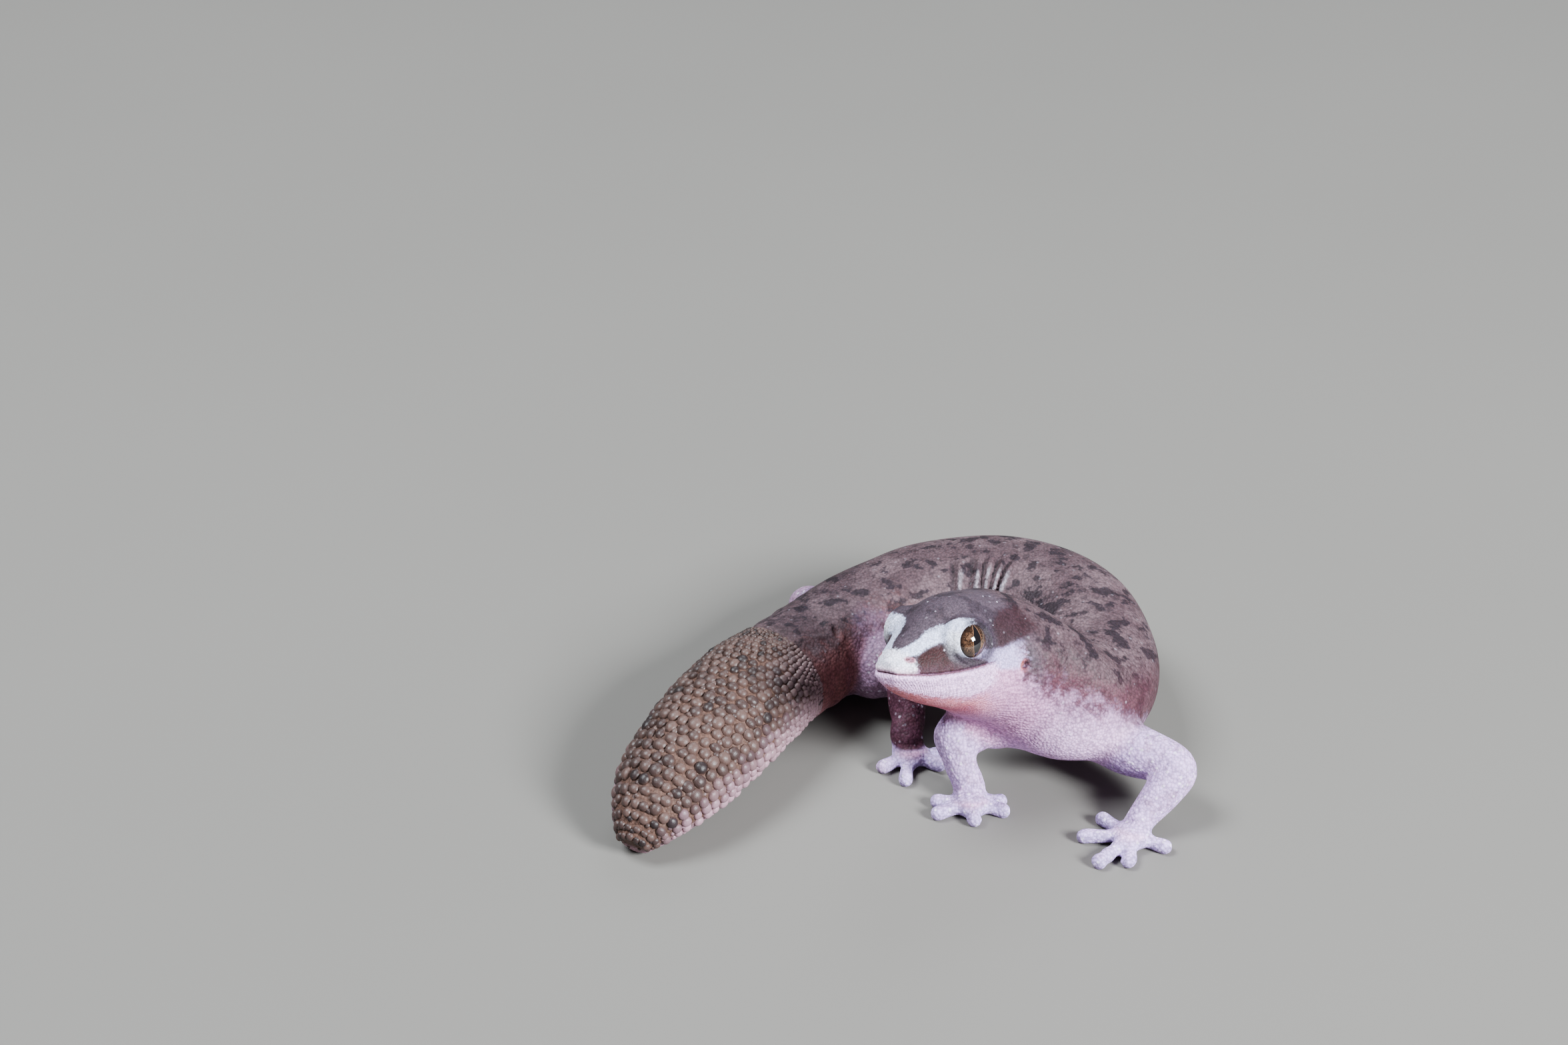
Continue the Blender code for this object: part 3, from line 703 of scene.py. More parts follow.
def shape_face(spots, normals):
    """Lips and the line between them, nostrils and ears, pressed into the skin."""
    back, side, up = head_places(spots)
    turn, above = mouth_places(spots)
    on_face = ramp(back, 9.5, 8.5)
    open_end = ramp(turn, 131, 124) * on_face
    push = -MOUTH_DEPTH * bell(above, 0, MOUTH_WIDTH) * open_end
    push += 0.07 * bell(above, 0.30, 0.17) * open_end
    push += 0.09 * bell(above, -0.34, 0.22) * open_end
    push -= 0.06 * bell(above, -1.05, 0.25) * ramp(turn, 120, 90) * ramp(back, 0.6, 1.6) * on_face
    nostril = nostril_reach(back, up)
    push -= 0.28 * ramp(nostril, 1.25, 0.35) * (back < 3)
    push += 0.05 * bell(nostril, 1.7, 0.5) * (back < 3)
    ear = ear_reach(back, up)
    beside = (np.abs(side) > 3.0) & (back > 8) & (back < 12.5) & (np.abs(up) < 3)
    push -= PIT_DEPTH * ramp(ear, 1.2, 0.4) * beside
    push += 0.12 * bell(ear, 1.9, 0.6) * beside
    return spots + normals * push[:, None]


def round_eye(spots, side):
    """Out of, ahead of and above the middle of the lids, and reach from it in openings."""
    outward, along, across = eye_axes(side)
    gap = spots - eye_spot(side)
    ahead = gap @ along + LID_SHIFT
    up = gap @ across
    return gap @ outward, ahead, up, np.hypot(ahead / LID_OPENING[0], up / LID_OPENING[1])


def shape_lids(spots, side):
    """Open the lids round an eye and raise their rims."""
    middle = eye_spot(side)
    gap = spots - middle
    out, ahead, up, reach = round_eye(spots, side)
    distance = np.linalg.norm(gap, axis=1)
    way = gap / distance[:, None]
    facing = (out > 0.1) & (distance < 4)
    inner = EYE_RADIUS - 0.22
    margin = EYE_RADIUS + LID_STAND
    target = inner + (margin - inner) * ramp(reach, 0.93, 1.07)
    rim = ramp(reach, 1.75, 1.12)
    turn = np.arctan2(up, ahead)
    beads = np.abs(np.cos(turn * LID_BEADS / 2)) * ramp(up, -0.2, 0.4)
    outer = np.maximum(distance, margin) + (0.08 + 0.05 * beads) * bell(reach, 1.20, 0.10)
    outer -= 0.05 * bell(reach, 1.45, 0.12)
    wanted = np.where(reach < 1.07, target, distance * (1 - rim) + outer * rim)
    blend = np.where(facing, 1.0, 0.0)
    return spots + way * ((wanted - distance) * blend)[:, None]


def flank_folds(station, side, height):
    """One on the ridges of loose skin on the inner flank, and below nought beside them."""
    ridges = 0
    for number, (middle, slant) in enumerate(FLANK_FOLDS):
        line = middle + slant * (height - 0.7) + 0.012 * np.sin(height * 14 + number)
        ridges = ridges + bell(station, line, FOLD_WIDTH)
        ridges = ridges - 0.5 * bell(station, line + 1.9 * FOLD_WIDTH, FOLD_WIDTH)
    return ridges * ramp(height, 0.20, 0.50) * ramp(height, 1.02, 0.92) * (side < 0)


def limb_places(spots):
    """Distance from the nearest limb in radii, how far down it, if a hind one, and if a foot."""
    nearest = np.full(len(spots), 9.0)
    down = np.zeros(len(spots))
    hind = np.zeros(len(spots))
    hand = np.zeros(len(spots))
    for limb, joints in LIMBS.items():
        path = smooth_path(joints, 8)
        gaps = np.linalg.norm(spots[:, None, :] - path[None, :, :3], axis=2) / path[:, 3]
        palm = np.array([*FEET[limb][0], PALM_HEIGHT])
        foot = np.linalg.norm(spots - palm, axis=1)
        hand = np.maximum(hand, ramp(foot, 5.4, 4.8) * ramp(spots[:, 2], 1.6, 0.9))
        closer = gaps.min(1) < nearest
        nearest = np.where(closer, gaps.min(1), nearest)
        down = np.where(closer, gaps.argmin(1) / len(path), down)
        hind = np.where(closer, float(limb.endswith("hind")), hind)
    return nearest, down, hind, hand


def shape_folds(spots, normals):
    """Folds of loose skin on the flank, groin and neck."""
    station, side, height = body_places(spots)
    back, _, up = head_places(spots)
    push = FOLD_RISE * flank_folds(station, side, height)
    wander = 0.35 * np.sin(height * 5.0 + station * 2.1) + 0.2 * np.sin(station * 7.7)
    groin = ramp(station, 17.0, 18.0) * ramp(station, 20.2, 19.2)
    groin = groin * bell(height, -0.25, 0.5) * (side < 0)
    push += 0.14 * groin * np.cos((station + 0.1 * wander) * math.tau / 0.62)
    neck = bell(back, 12.6, 2.6) * ramp(up, 3.0, 0.5)
    push += 0.05 * neck * np.cos(back * math.tau / 1.25 + 1.3 * np.sin(up * 0.9))
    return spots + normals * push[:, None]


def make_skin():
    """The whole animal's skin."""
    pieces = [make_trunk(), egg("cheek", CHEEK, np.diag(CHEEK_RADII)), brow(1), brow(-1)]
    for limb, joints in LIMBS.items():
        pieces.append(tube(limb, joints))
        pieces.extend(foot_pieces(limb))
    skin = fused("skin", pieces, SKIN_VOXEL)
    ease_neck(skin)
    refine_head(skin)
    tree = surface_of(skin)
    spots = shape_face(spots_of(skin), normals_of(skin))
    for side in (1, -1):
        spots = shape_lids(spots, side)
    spots = shape_folds(spots, normals_of(skin))
    spots[:, 2] = np.maximum(spots[:, 2], 0.0)
    move_to(skin, spots)
    skin.data.shade_smooth()
    return skin, tree


def surface_of(obj):
    bm = bmesh.new()
    bm.from_mesh(obj.data)
    tree = BVHTree.FromBMesh(bm)
    bm.free()
    return tree


def put_values(obj, name, values):
    """Keep a number for each point of the mesh, for its finish."""
    attribute = obj.data.attributes.new(name, "FLOAT", "POINT")
    attribute.data.foreach_set("value", np.asarray(values, np.float32))


def between(values, low, high, soft):
    return ramp(values, low - soft, low + soft) * ramp(values, high + soft, high - soft)


def read(pairs, places):
    """Values at places along a table of pairs."""
    return np.interp(places, *zip(*pairs))


def face_marks(spots, height):
    """Markings of the face, and the painted bounce light under the throat, before they are kept to the
    head.
    """
    back, side, up = head_places(spots)
    turn, above = mouth_places(spots)
    out = np.abs(side)

    inner = read(STRIPE_INNER, back) + 0.11 * (side > 0)
    outer = read(STRIPE_OUTER, back)
    soft = read(STRIPE_SOFTNESS, back)
    stripe = ramp(out, inner - soft, inner + soft) * ramp(out, outer + soft, outer - soft)
    stripe *= ramp(back, 6.9, 5.4) * ramp(up, 0.6, 1.2) * ramp(back, 0.8, 1.4)
    stripe *= np.where(side < 0, ramp(up, 3.95, 3.35), 1.0)

    band_low = read(BAND_LOW, back)
    patch_top = np.where(back > BAND_LOW[0][0], band_low, read(LOREAL_TOP, back))
    loreal = ramp(up, patch_top + 0.22, patch_top - 0.22) * ramp(above, 0.04, 0.18)
    loreal *= ramp(back, 1.3, 2.2) * ramp(back, 7.9, 7.2) * ramp(out, 1.0, 1.5)

    streak_low = read(STREAK_LOW, back)
    streak = between(up, streak_low + 0.1, read(STREAK_TOP, back), 0.6)
    band = between(up, band_low, streak_low, 0.40)
    lip_low = read(LIP_LOW, back)
    lip = ramp(above, 0.03, -0.12) * ramp(up, lip_low - 0.45, lip_low + 0.45)
    return {
        "crown": ramp(height, 0.15, 0.45) * ramp(back, 12.5, 10.5),
        "stripe": stripe,
        "loreal": loreal,
        "rostral": ramp(back + 0.35 * np.abs(up - 0.8), 2.1, 1.1) * ramp(above, -0.05, 0.1),
        "streak": streak * between(back, 7.6, 12.2, 1.3) * (out > 2.5),
        "band": band * between(back, 5.2, 9.9, 1.3) * (out > 2.5),
        "lip": lip * ramp(back, 8.8, 6.6),
        # Where painted bounce light from the ground lies, under the jaw
        "throat": ramp(above, 0.05, -0.1) * ramp(back, 10.5, 6.5),
        "mouth": ramp(turn, 131, 126) * ramp(back, 9.5, 8.5),
        "nostril": ramp(nostril_reach(back, up), 2.1, 0.7) * (back < 3),
        "ear": ramp(ear_reach(back, up), 1.35, 0.6) * (out > 3) * (back > 8) * (back < 12.5),
        "face": ramp(back, 11.0, 8.0),
    }


def eye_marks(spots):
    """Rims of the lids, and the skin behind and before them."""
    up = head_places(spots)[2]
    rims, behind, before = np.zeros((3, len(spots)))
    for side in (1, -1):
        outward, ahead, over, ring = round_eye(spots, side)
        facing = (outward > 0) * (np.linalg.norm(spots - eye_spot(side), axis=1) < 3.5)
        above = ramp(over, 0.5, 1.2) * ramp(ahead, 1.0, 0.3)
        rear = np.maximum(ramp(ahead, 0.2, -0.9), 0.75 * above)
        rear = np.maximum(rear, 0.9 * ramp(over, -0.5, -1.0))
        rims = np.maximum(rims, bell(ring, 1.05, 0.13) * facing * (0.45 + 0.55 * rear))
        behind = np.maximum(behind, bell(ring, 1.25, 0.30) * rear * facing)
        front = bell(np.arctan2(over, ahead), 0.35, 0.75) * ramp(ring, 1.75, 1.30)
        before = np.maximum(before, front * ramp(up, 3.5, 3.0) * facing)
    return rims, behind, before


def mark_skin(skin):
    """Where each marking lies, from nought to one, on every point of the skin."""
    spots = spots_of(skin)
    back = head_places(spots)[0]
    turn, above = mouth_places(spots)
    station, across, height = body_places(spots)
    reach = np.hypot(across, height)
    nearest, down, hind, hand = limb_places(spots)
    hand = hand * ramp(reach, 1.05, 1.25)
    beyond = ramp(reach, 1.03 - 0.06 * hind, 1.30 - 0.12 * hind)
    limb = np.maximum(hand, beyond * ramp(nearest, 1.7 - 0.35 * hind, 1.2 - 0.15 * hind))
    head = (station < 9.6) * (1 - limb)
    chin = ramp(above, 0.05, -0.1) * ramp(back, 15.0, 10.5) * (station < 10.5)
    rims, behind, before = eye_marks(spots)
    marks = {name: values * head for name, values in face_marks(spots, height).items()}
    marks["chin"] = chin * (1 - limb)
    marks.update(above_mouth=above, turn=turn, station=station, across=across, height=height)
    marks.update(limb=limb, hand=hand)
    marks["shank"] = hind * ramp(down, 0.36, 0.52) * limb * (1 - hand)
    marks["thigh"] = hind * ramp(down, 0.52, 0.36) * limb
    marks["folds"] = flank_folds(station, across, height)
    marks["lid"] = rims * head
    marks["lid_back"] = behind
    marks["lid_front"] = before * head
    for name, values in marks.items():
        put_values(skin, name, values)


# Tail scales

def on_skin(tree, inside, way, reach=8):
    """Place and facing of the skin where a ray from outside, back along a direction, meets it."""
    far = np.asarray(inside) + np.asarray(way) * reach
    hit, facing = tree.ray_cast(Vector(to_world(far)), Vector(-np.asarray(way)))[:2]
    return to_layout(hit), np.array(facing)


def frame_at(travelled, here):
    """Centre, left, up and sizes of the section a distance along the spine."""
    table = np.hstack([CENTRES, LEFTS, UPS, SECTION_SIZES])
    mixed = np.array([np.interp(here, travelled, column) for column in table.T])
    return mixed[:3], mixed[3:6], mixed[6:9], mixed[9:]


def scale_places(tree):
    """Place, facing, size and share along and around of every scale, in staggered rows."""
    dice = random.Random(23)
    travelled = np.concatenate([[0], np.cumsum(np.linalg.norm(np.diff(CENTRES, axis=0), axis=1))])
    marks = np.interp(np.array(SCALE_STATIONS) * STEPS, np.arange(len(travelled)), travelled)
    here, row, places = marks[0], 0, []
    while here < marks[-1]:
        spacing = float(np.interp(here, marks, SCALE_SPACINGS))
        centre, left, up, sizes = frame_at(travelled, here)
        ring = section_ring(centre, left, up, *sizes, around=RING_POINTS)
        ring = np.roll(ring, RING_POINTS // 4, axis=0)
        steps = np.linalg.norm(np.diff(ring, axis=0), axis=1)
        along = np.concatenate([[0], np.cumsum(steps)]) - steps[: RING_POINTS // 2].sum()
        reach = int(along[-1] / spacing * 1.4) + 4
        for number in range(-2 * reach, 2 * reach):
            small = number % 2
            if small and dice.random() > SMALL_SCALES:
                continue
            offset = (number / 2 + 0.5 * (row % 2)) * spacing
            offset *= 1 - 0.24 * min(1.0, abs(offset) / along[-1])
            offset += dice.uniform(-SCALE_SHIFT, SCALE_SHIFT) * spacing
            slip = (dice.uniform(-SCALE_SLIP, SCALE_SLIP) + SMALL_SLIP * small) * spacing
            if abs(offset) > along[-1] * SCALE_REACH:
                continue
            aim = np.array([np.interp(offset, along, ring[:, axis]) for axis in range(3)])
            aim += slip * np.cross(up, left)
            way = unit(aim - centre)
            spot, facing = on_skin(tree, centre, way)
            if spot[2] < SCALE_LOWEST or facing[2] < SCALE_FACING:
                continue
            low = float(ramp(facing[2] + dice.uniform(-0.14, 0.14), 0.50, SCALE_FACING))
            low *= float(ramp(here, marks[-1] - 0.5, marks[-1] - 3.0))
            size = spacing * SCALE_FILL * dice.uniform(*SCALE_SIZES)
            size = size * (1 - 0.16 * low) * (1 - 0.45 * small)
            around = 0.5 + offset / along[-1] * 0.45
            places.append((spot, facing, size, here / travelled[-1], around, low))
        here += spacing * SCALE_ROWS
        row += 1
    return places


def make_tail_scales(tree):
    """All domed scales of the tail in one mesh, each with its own patch, tint and height."""
    dice = random.Random(5)
    verts, faces, patches = [], [], []
    tints, darks, lows, rises, root_lights = [], [], [], [], []
    places = scale_places(tree)
    start = places[0][3]
    tailward = CENTRES[-1] - CENTRES[-3 * STEPS]
    for spot, facing, size, along, around, low in places:
        side = unit(np.cross(facing, tailward))
        ahead = np.cross(side, facing)
        stretch = dice.uniform(0.92, 1.10)
        rise = size * (1 - 0.10 * low) * facing
        first = len(verts)
        for share, height in SCALE_PROFILE:
            for j in range(SCALE_SIDES):
                angle = math.tau * j / SCALE_SIDES
                x, y = share * math.cos(angle), share * math.sin(angle)
                verts.append(spot + size * (x * stretch * side + y / stretch * ahead) + height * rise)
                patches.append((along + x * SCALE_PATCH / 2, around + y * SCALE_PATCH / 2))
                rises.append(max(0.0, height / SCALE_TOP))
        verts.append(spot + SCALE_TOP * rise)
        patches.append((along, around))
        rises.append(1.0)
        faces += ring_faces(first, len(SCALE_PROFILE), SCALE_SIDES)
        top = len(verts) - 1
        for j in range(SCALE_SIDES):
            faces.append((top - SCALE_SIDES + j, top - SCALE_SIDES + (j + 1) % SCALE_SIDES, top))
        count = len(verts) - first
        tints += [dice.random()] * count
        darks += [float(dice.random() < DARK_SCALES * (1 - low))] * count
        lows += [low] * count
        # Painted light: scales on the shaded inner side of the root are marked to be laid paler
        root = ramp(along - start, ROOT_LIGHT_REACH, 0.0) * ramp(facing[0], 0.05, 0.65)
        root_lights += [float(root)] * count
    mesh = bpy.data.meshes.new("tail_scales")
    mesh.from_pydata([tuple(v) for v in to_world(verts)], [], faces)
    mesh.shade_smooth()
    layer = mesh.uv_layers.new(name="OFBake")
    corners = np.empty(len(mesh.loops), int)
    mesh.loops.foreach_get("vertex_index", corners)
    layer.data.foreach_set("uv", np.array(patches)[corners].ravel())
    scales = link("tail_scales", mesh)
    kept = {"tint": tints, "dark": darks, "low": lows, "rise": rises, "root": root_lights}
    for name, values in kept.items():
        put_values(scales, name, values)
    return scales


# Eyes

def make_eye(side):
    """An eyeball with its iris laid out on it."""
    outward, along, across = eye_axes(side)
    axes = EYE_RADIUS * np.array([along, across, outward])
    name = "left_eyeball" if side > 0 else "right_eyeball"
    eye = egg(name, eye_spot(side), axes, 96)
    gap = spots_of(eye) - eye_spot(side)
    front = gap @ outward
    bulge = 0.05 * ramp(front / EYE_RADIUS, 0.35, 0.95)
    move_to(eye, eye_spot(side) + gap * (1 + bulge)[:, None])
    put_values(eye, "iris_along", gap @ along + LID_SHIFT)
    put_values(eye, "iris_up", gap @ across)
    eye.data.shade_smooth()
    return eye


# Finishes

class Value:
    """A socket that sums can be written with."""

    def __init__(self, finish, socket):
        self.finish = finish
        self.socket = socket

    def sum_of(self, operation, *others):
        node = self.finish.node("ShaderNodeMath", {"operation": operation}, {0: self})
        for index, other in enumerate(others, 1):
            self.finish.put(node.inputs[index], other)
        return Value(self.finish, node.outputs[0])

    def __add__(self, other):
        return self.sum_of("ADD", other)

    __radd__ = __add__

    def __sub__(self, other):
        return self.sum_of("SUBTRACT", other)

    def __rsub__(self, other):
        return (self * -1.0) + other

    def __mul__(self, other):
        return self.sum_of("MULTIPLY", other)

    __rmul__ = __mul__

    def __truediv__(self, other):
        return self.sum_of("DIVIDE", other)

    def __pow__(self, other):
        return self.sum_of("POWER", other)

    def __abs__(self):
        return self.sum_of("ABSOLUTE")

    def sine(self):
        return self.sum_of("SINE")

    def step(self, low, high):
        """Smooth step from nought at low to one at high; high may be the lower."""
        settings = {"interpolation_type": "SMOOTHSTEP"}
        values = {"Value": self, "From Min": low, "From Max": high}
        node = self.finish.node("ShaderNodeMapRange", settings, values)
        return Value(self.finish, node.outputs["Result"])


class Finish:
    """A material whose nodes are written as sums and layers."""

    def __init__(self, name, roughness):
        self.material = bpy.data.materials.new(name)
        self.material.use_nodes = True
        self.tree = self.material.node_tree
        self.shader = self.tree.nodes["Principled BSDF"]
        self.surface("Roughness", roughness)
        self.colour = (0.0, 0.0, 0.0)

    def put(self, socket, value):
        if isinstance(value, Value):
            self.tree.links.new(value.socket, socket)
        elif isinstance(value, bpy.types.NodeSocket):
            self.tree.links.new(value, socket)
        elif isinstance(value, tuple) and len(value) == 3 and socket.type == "RGBA":
            socket.default_value = (*value, 1.0)
        else:
            socket.default_value = value

    def surface(self, name, value):
        """Set or link a socket of the surface's shader."""
        self.put(self.shader.inputs[name], value)

    def node(self, kind, settings, values):
        """Add a node: its settings first, then the values or links of its sockets."""
        node = self.tree.nodes.new(kind)
        for key, value in settings.items():
            setattr(node, key, value)
        for key, value in values.items():
            if isinstance(key, int):
                self.put(node.inputs[key], value)
            else:
                named = [socket for socket in node.inputs if socket.name == key and socket.enabled]
                self.put(named[0], value)
        return node

    def __getitem__(self, name):
        """A number kept on the mesh, by its name."""
        node = self.node("ShaderNodeAttribute", {"attribute_name": name}, {})
        return Value(self, node.outputs["Fac"])

    def place(self):
        return self.node("ShaderNodeTexCoord", {}, {}).outputs["Object"]

    def noise(self, size, detail=2.0, roughness=0.5):
        """Cloudy noise, about nought to one, with features of a size in millimetres."""
        values = {"Scale": 1 / (size * MM), "Detail": detail, "Roughness": roughness}
        values["Vector"] = self.place()
        return Value(self, self.node("ShaderNodeTexNoise", {}, values).outputs["Fac"])

    def cells(self, size, output="Distance"):
        """Scattered cells of a size in millimetres."""
        values = {"Scale": 1 / (size * MM), "Vector": self.place()}
        node = self.node("ShaderNodeTexVoronoi", {"feature": "F1"}, values)
        return Value(self, node.outputs[output])

    def cell_tint(self, size):
        """One random number a cell."""
        colour = self.cells(size, "Color")
        node = self.node("ShaderNodeSeparateColor", {}, {"Color": colour})
        return Value(self, node.outputs["Red"])

    def mix(self, mask, under, over):
        """Over laid on under where the mask is one."""
        values = {"Factor": mask, "A": under, "B": over}
        return self.node("ShaderNodeMix", {"data_type": "RGBA"}, values).outputs[2]

    def lay(self, mask, over):
        """Lay a colour on those laid before it."""
        self.colour = self.mix(mask, self.colour, over)

    def shade(self, amount):
        """Make the colour lighter or darker by a number about one, and put it on the surface."""
        grey = self.node("ShaderNodeCombineXYZ", {}, {"X": amount, "Y": amount, "Z": amount})
        values = {0: self.colour, 1: grey.outputs[0]}
        node = self.node("ShaderNodeVectorMath", {"operation": "MULTIPLY"}, values)
        self.surface("Base Color", node.outputs["Vector"])

    def bump(self, height, depth):
        """Raise the surface by a height of nought to one, times a depth in millimetres."""
        values = {"Strength": 1.0, "Distance": depth * MM, "Height": height}
        node = self.node("ShaderNodeBump", {}, values)
        self.surface("Normal", node.outputs["Normal"])


def hide_finish():
    """Skin of the whole animal: fine grains, pale flecks, the markings of head, body and limbs, and
    painted light and shade in a few places.
    """
    hide = Finish("hide", 0.5)
    height = hide["height"]
    station = hide["station"]
    limb = hide["limb"]
    hand = hide["hand"]
    broad = hide.noise(3.2, 3.0, 0.55)
    patchy = hide.noise(1.05, 3.0, 0.6)
    grainy = hide.noise(0.28, 2.0, 0.6)
    face = hide["face"]
    grain = hide.cells(GRAIN) * (1 - face) + hide.cells(FACE_GRAIN) * face
    tint = hide.cell_tint(GRAIN) * (1 - face) + hide.cell_tint(FACE_GRAIN) * face
    beads = hide.cells(0.60)
    rough_edge = (patchy - 0.5) * 0.6 + (tint - 0.5) * 0.35

    # Back: grey brown with dark blotches, paler low on the side
    blotch = hide.noise(1.5, 2.0, 0.5) + (patchy - 0.5) * 0.25 + (tint - 0.5) * 0.08
    blotch = blotch.step(0.545, 0.615)
    back = hide.mix(broad.step(0.35, 0.7), BACK, BACK_LIGHT)
    back = hide.mix(patchy.step(0.46, 0.32) * 0.5, back, BACK_DARK)
    # Inner side of the rear flank, which lies in the head's shadow: the hip's dark blotches are laid
    # weaker there, as painted light
    inner = hide["across"].step(0.0, -0.3)
    inner = inner * station.step(16.4, 17.6) * station.step(20.8, 20.2)
    hip = station.step(16.8, 18.6) * (1 - inner * 0.5)
    back = hide.mix(hip * (0.18 + patchy.step(0.60, 0.38) * 0.35), back, BACK_DARK)
    back = hide.mix(blotch * 0.85, back, BACK_DARK)
    neck = station.step(11.6, 9.0)
    low = hide.mix(neck, BELLY, NECK)
    back = hide.mix(neck * height.step(0.75, 0.35) * 0.65, back, NECK_TOP)
    tone = height + (patchy - 0.5) * 0.75 + (tint - 0.5) * 0.14 - neck * 0.84
    # Pale chest: its own colour, made paler as painted light where it faces down into shade
    low = hide.mix(neck * station.step(7.7, 8.7) * height.step(0.10, -0.40), low, CHEST_TONE_AND_PAINTED_LIGHT)
    hide.colour = hide.mix(tone.step(-0.95, -0.33), low, back)
    outer = hide["across"].step(0.0, 0.4) * (1 - neck)
    outer = outer * tone.step(0.45, 0.05) * tone.step(-0.95, -0.5)
    hide.lay(outer * 0.75, FLANK)
    # Painted light: a paler, warm groin colour on the shaded inner flank
    groin = inner * tone.step(0.95, 0.35) * tone.step(-1.0, -0.8)
    hide.lay(groin * 0.8, GROIN_TONE_AND_PAINTED_LIGHT)
    folds = hide["folds"]
    hide.lay(folds.step(0.10, 0.9) * patchy.step(0.25, 0.55) * 0.8, FOLD)
    # Painted shade in the troughs beside the folds
    hide.lay(folds.step(-0.08, -0.4) * 0.6, BACK_DARK)

    # Neck, and painted red-orange bounce light from the ground along the throat's lower edge
    mottle = (patchy + (grainy - 0.5) * 0.5).step(0.44, 0.58)
    zone = neck * height.step(0.80, 0.35) * height.step(-0.15, 0.30)
    hide.lay(zone * mottle * 0.70, NECK_DARK)
    chin = hide["chin"]
    ragged = height + (grainy - 0.5) * 0.4 + (patchy - 0.5) * 0.5
    hide.lay(chin * ragged.step(0.30, -0.10), CHEEK_TONE)
    # Painted bounce light: red-orange along the throat's lower edge, standing in for light thrown up
    # from the ground
    bounce_light = hide.mix(hide.noise(2.5).step(0.4, 0.65), CHIN_BOUNCE_LIGHT, THROAT_BOUNCE_LIGHT)
    hide.lay(hide["throat"] * ragged.step(-0.40, -0.95) * 0.92, bounce_light)

    # Limbs and feet
    limb_tone = hide.mix(patchy.step(0.5, 0.7) * 0.45, LIMB, LIMB_DARK)
    limb_tone = hide.mix(hide["thigh"] * 0.8, limb_tone, THIGH)
    # Dark red lower hind legs: partly their own colour, partly painted shade with red bounce light
    limb_tone = hide.mix(hide["shank"] * 0.96, limb_tone, SHANK_AND_PAINTED_SHADE)
    limb_tone = hide.mix(hand * 0.9, limb_tone, HAND)
    hide.lay(limb, limb_tone)

    # Tail skin between the scales
    tail = station.step(19.6, 21.2)
    tail_tone = hide.mix((height + rough_edge * 0.4).step(-0.05, -0.5), TAIL_SKIN, TAIL_LOW)
    hide.lay(tail, tail_tone)

    # Face
    edge = (patchy - 0.5) * 0.5 + (tint - 0.5) * 0.8

    def marking(name, strength):
        value = hide[name]
        return (value * 1.5 + edge * 0.7).step(0.15, 1.20) * value.step(0.0, 0.2) * strength

    crown = hide.mix(blotch * 0.5, CROWN, BACK_DARK)
    crown = hide.mix(broad.step(0.5, 0.75) * 0.35, crown, BACK_LIGHT)
    hide.lay(hide["crown"], crown)
    for name, strength, over in FACE_LAYERS:
        hide.lay(marking(name, strength), over)
    snout = hide.mix(hide["above_mouth"].step(0.75, 0.05) * 0.7, SNOUT_WHITE, SNOUT_PINK)
    hide.lay(marking("rostral", 0.95), snout)
    hide.lay(hide["lid_front"] * 0.85, LID_FRONT)
    hide.lay(hide["lid_back"] * 0.85, LID_DARK)
    hide.lay(hide["lid"] * 0.8, BACK_DARK)
    hide.lay(hide["nostril"].step(0.0, 0.5) * 0.8, NOSTRIL_PINK)
    # Painted shade in the nostril's opening
    hide.lay(hide["nostril"].step(0.75, 1.0) * 0.8, SLIT_AND_PIT_SHADE)
    hide.lay(hide["ear"] * 0.9, EAR_RED)
    # Painted shade in the slit of the mouth
    slit = abs(hide["above_mouth"]).step(0.13, 0.02) * hide["mouth"]
    hide.lay(slit * 0.85, SLIT_AND_PIT_SHADE)

    # Grains: each scale a little lighter or darker, and scattered pale flecks
    fleck = (hide.cells(0.95) + grainy * 0.12).step(0.24, 0.14)
    fleck = fleck * hide.cell_tint(0.95).step(0.30, 0.45)
    pale = 0.08 + neck * 0.12 + limb * 0.25
    pale = pale - hide["crown"] * 0.08 - hide["loreal"] * 0.08
    hide.lay(fleck * pale, CREAM)
    speck = hide.cells(0.55).step(0.17, 0.11) * hide.cell_tint(0.55).step(0.88, 0.90)
    speck = speck * hide["crown"] * (1 - hide["stripe"])
    hide.lay(speck * 0.7, CREAM)
    beaded = (beads + grainy * 0.1).step(0.32, 0.18) * limb * (1 - hide["shank"] * 0.75)
    hide.lay(beaded * 0.6, CREAM)
    hide.shade(0.86 + tint * 0.40 - grain.step(0.30, 0.70) * 0.36)

    # Relief: grains everywhere, rows of them on lips and throat, beads on the limbs
    rows = (hide["turn"] * 1.55).sine() * (hide["above_mouth"] * 13.0).sine()
    rows = rows * chin * height.step(-0.9, -0.6)
    smooth = 1 - face * 0.45 - hide["rostral"] * 0.3
    raised = (1 - grain) * 0.7 * smooth + (1 - beads) * limb * 0.6
    raised = raised + fleck * 0.4 + patchy * 0.3 + rows * 0.25
    hide.bump(raised, 0.075)
    hide.surface("Roughness", 0.50 + patchy * 0.14 - hide["rostral"] * 0.30)
    hide.surface("Specular IOR Level", 0.13)
    hide.surface("Subsurface Weight", 0.10)
    hide.surface("Subsurface Radius", (0.0009, 0.0004, 0.0003))
    return hide.material


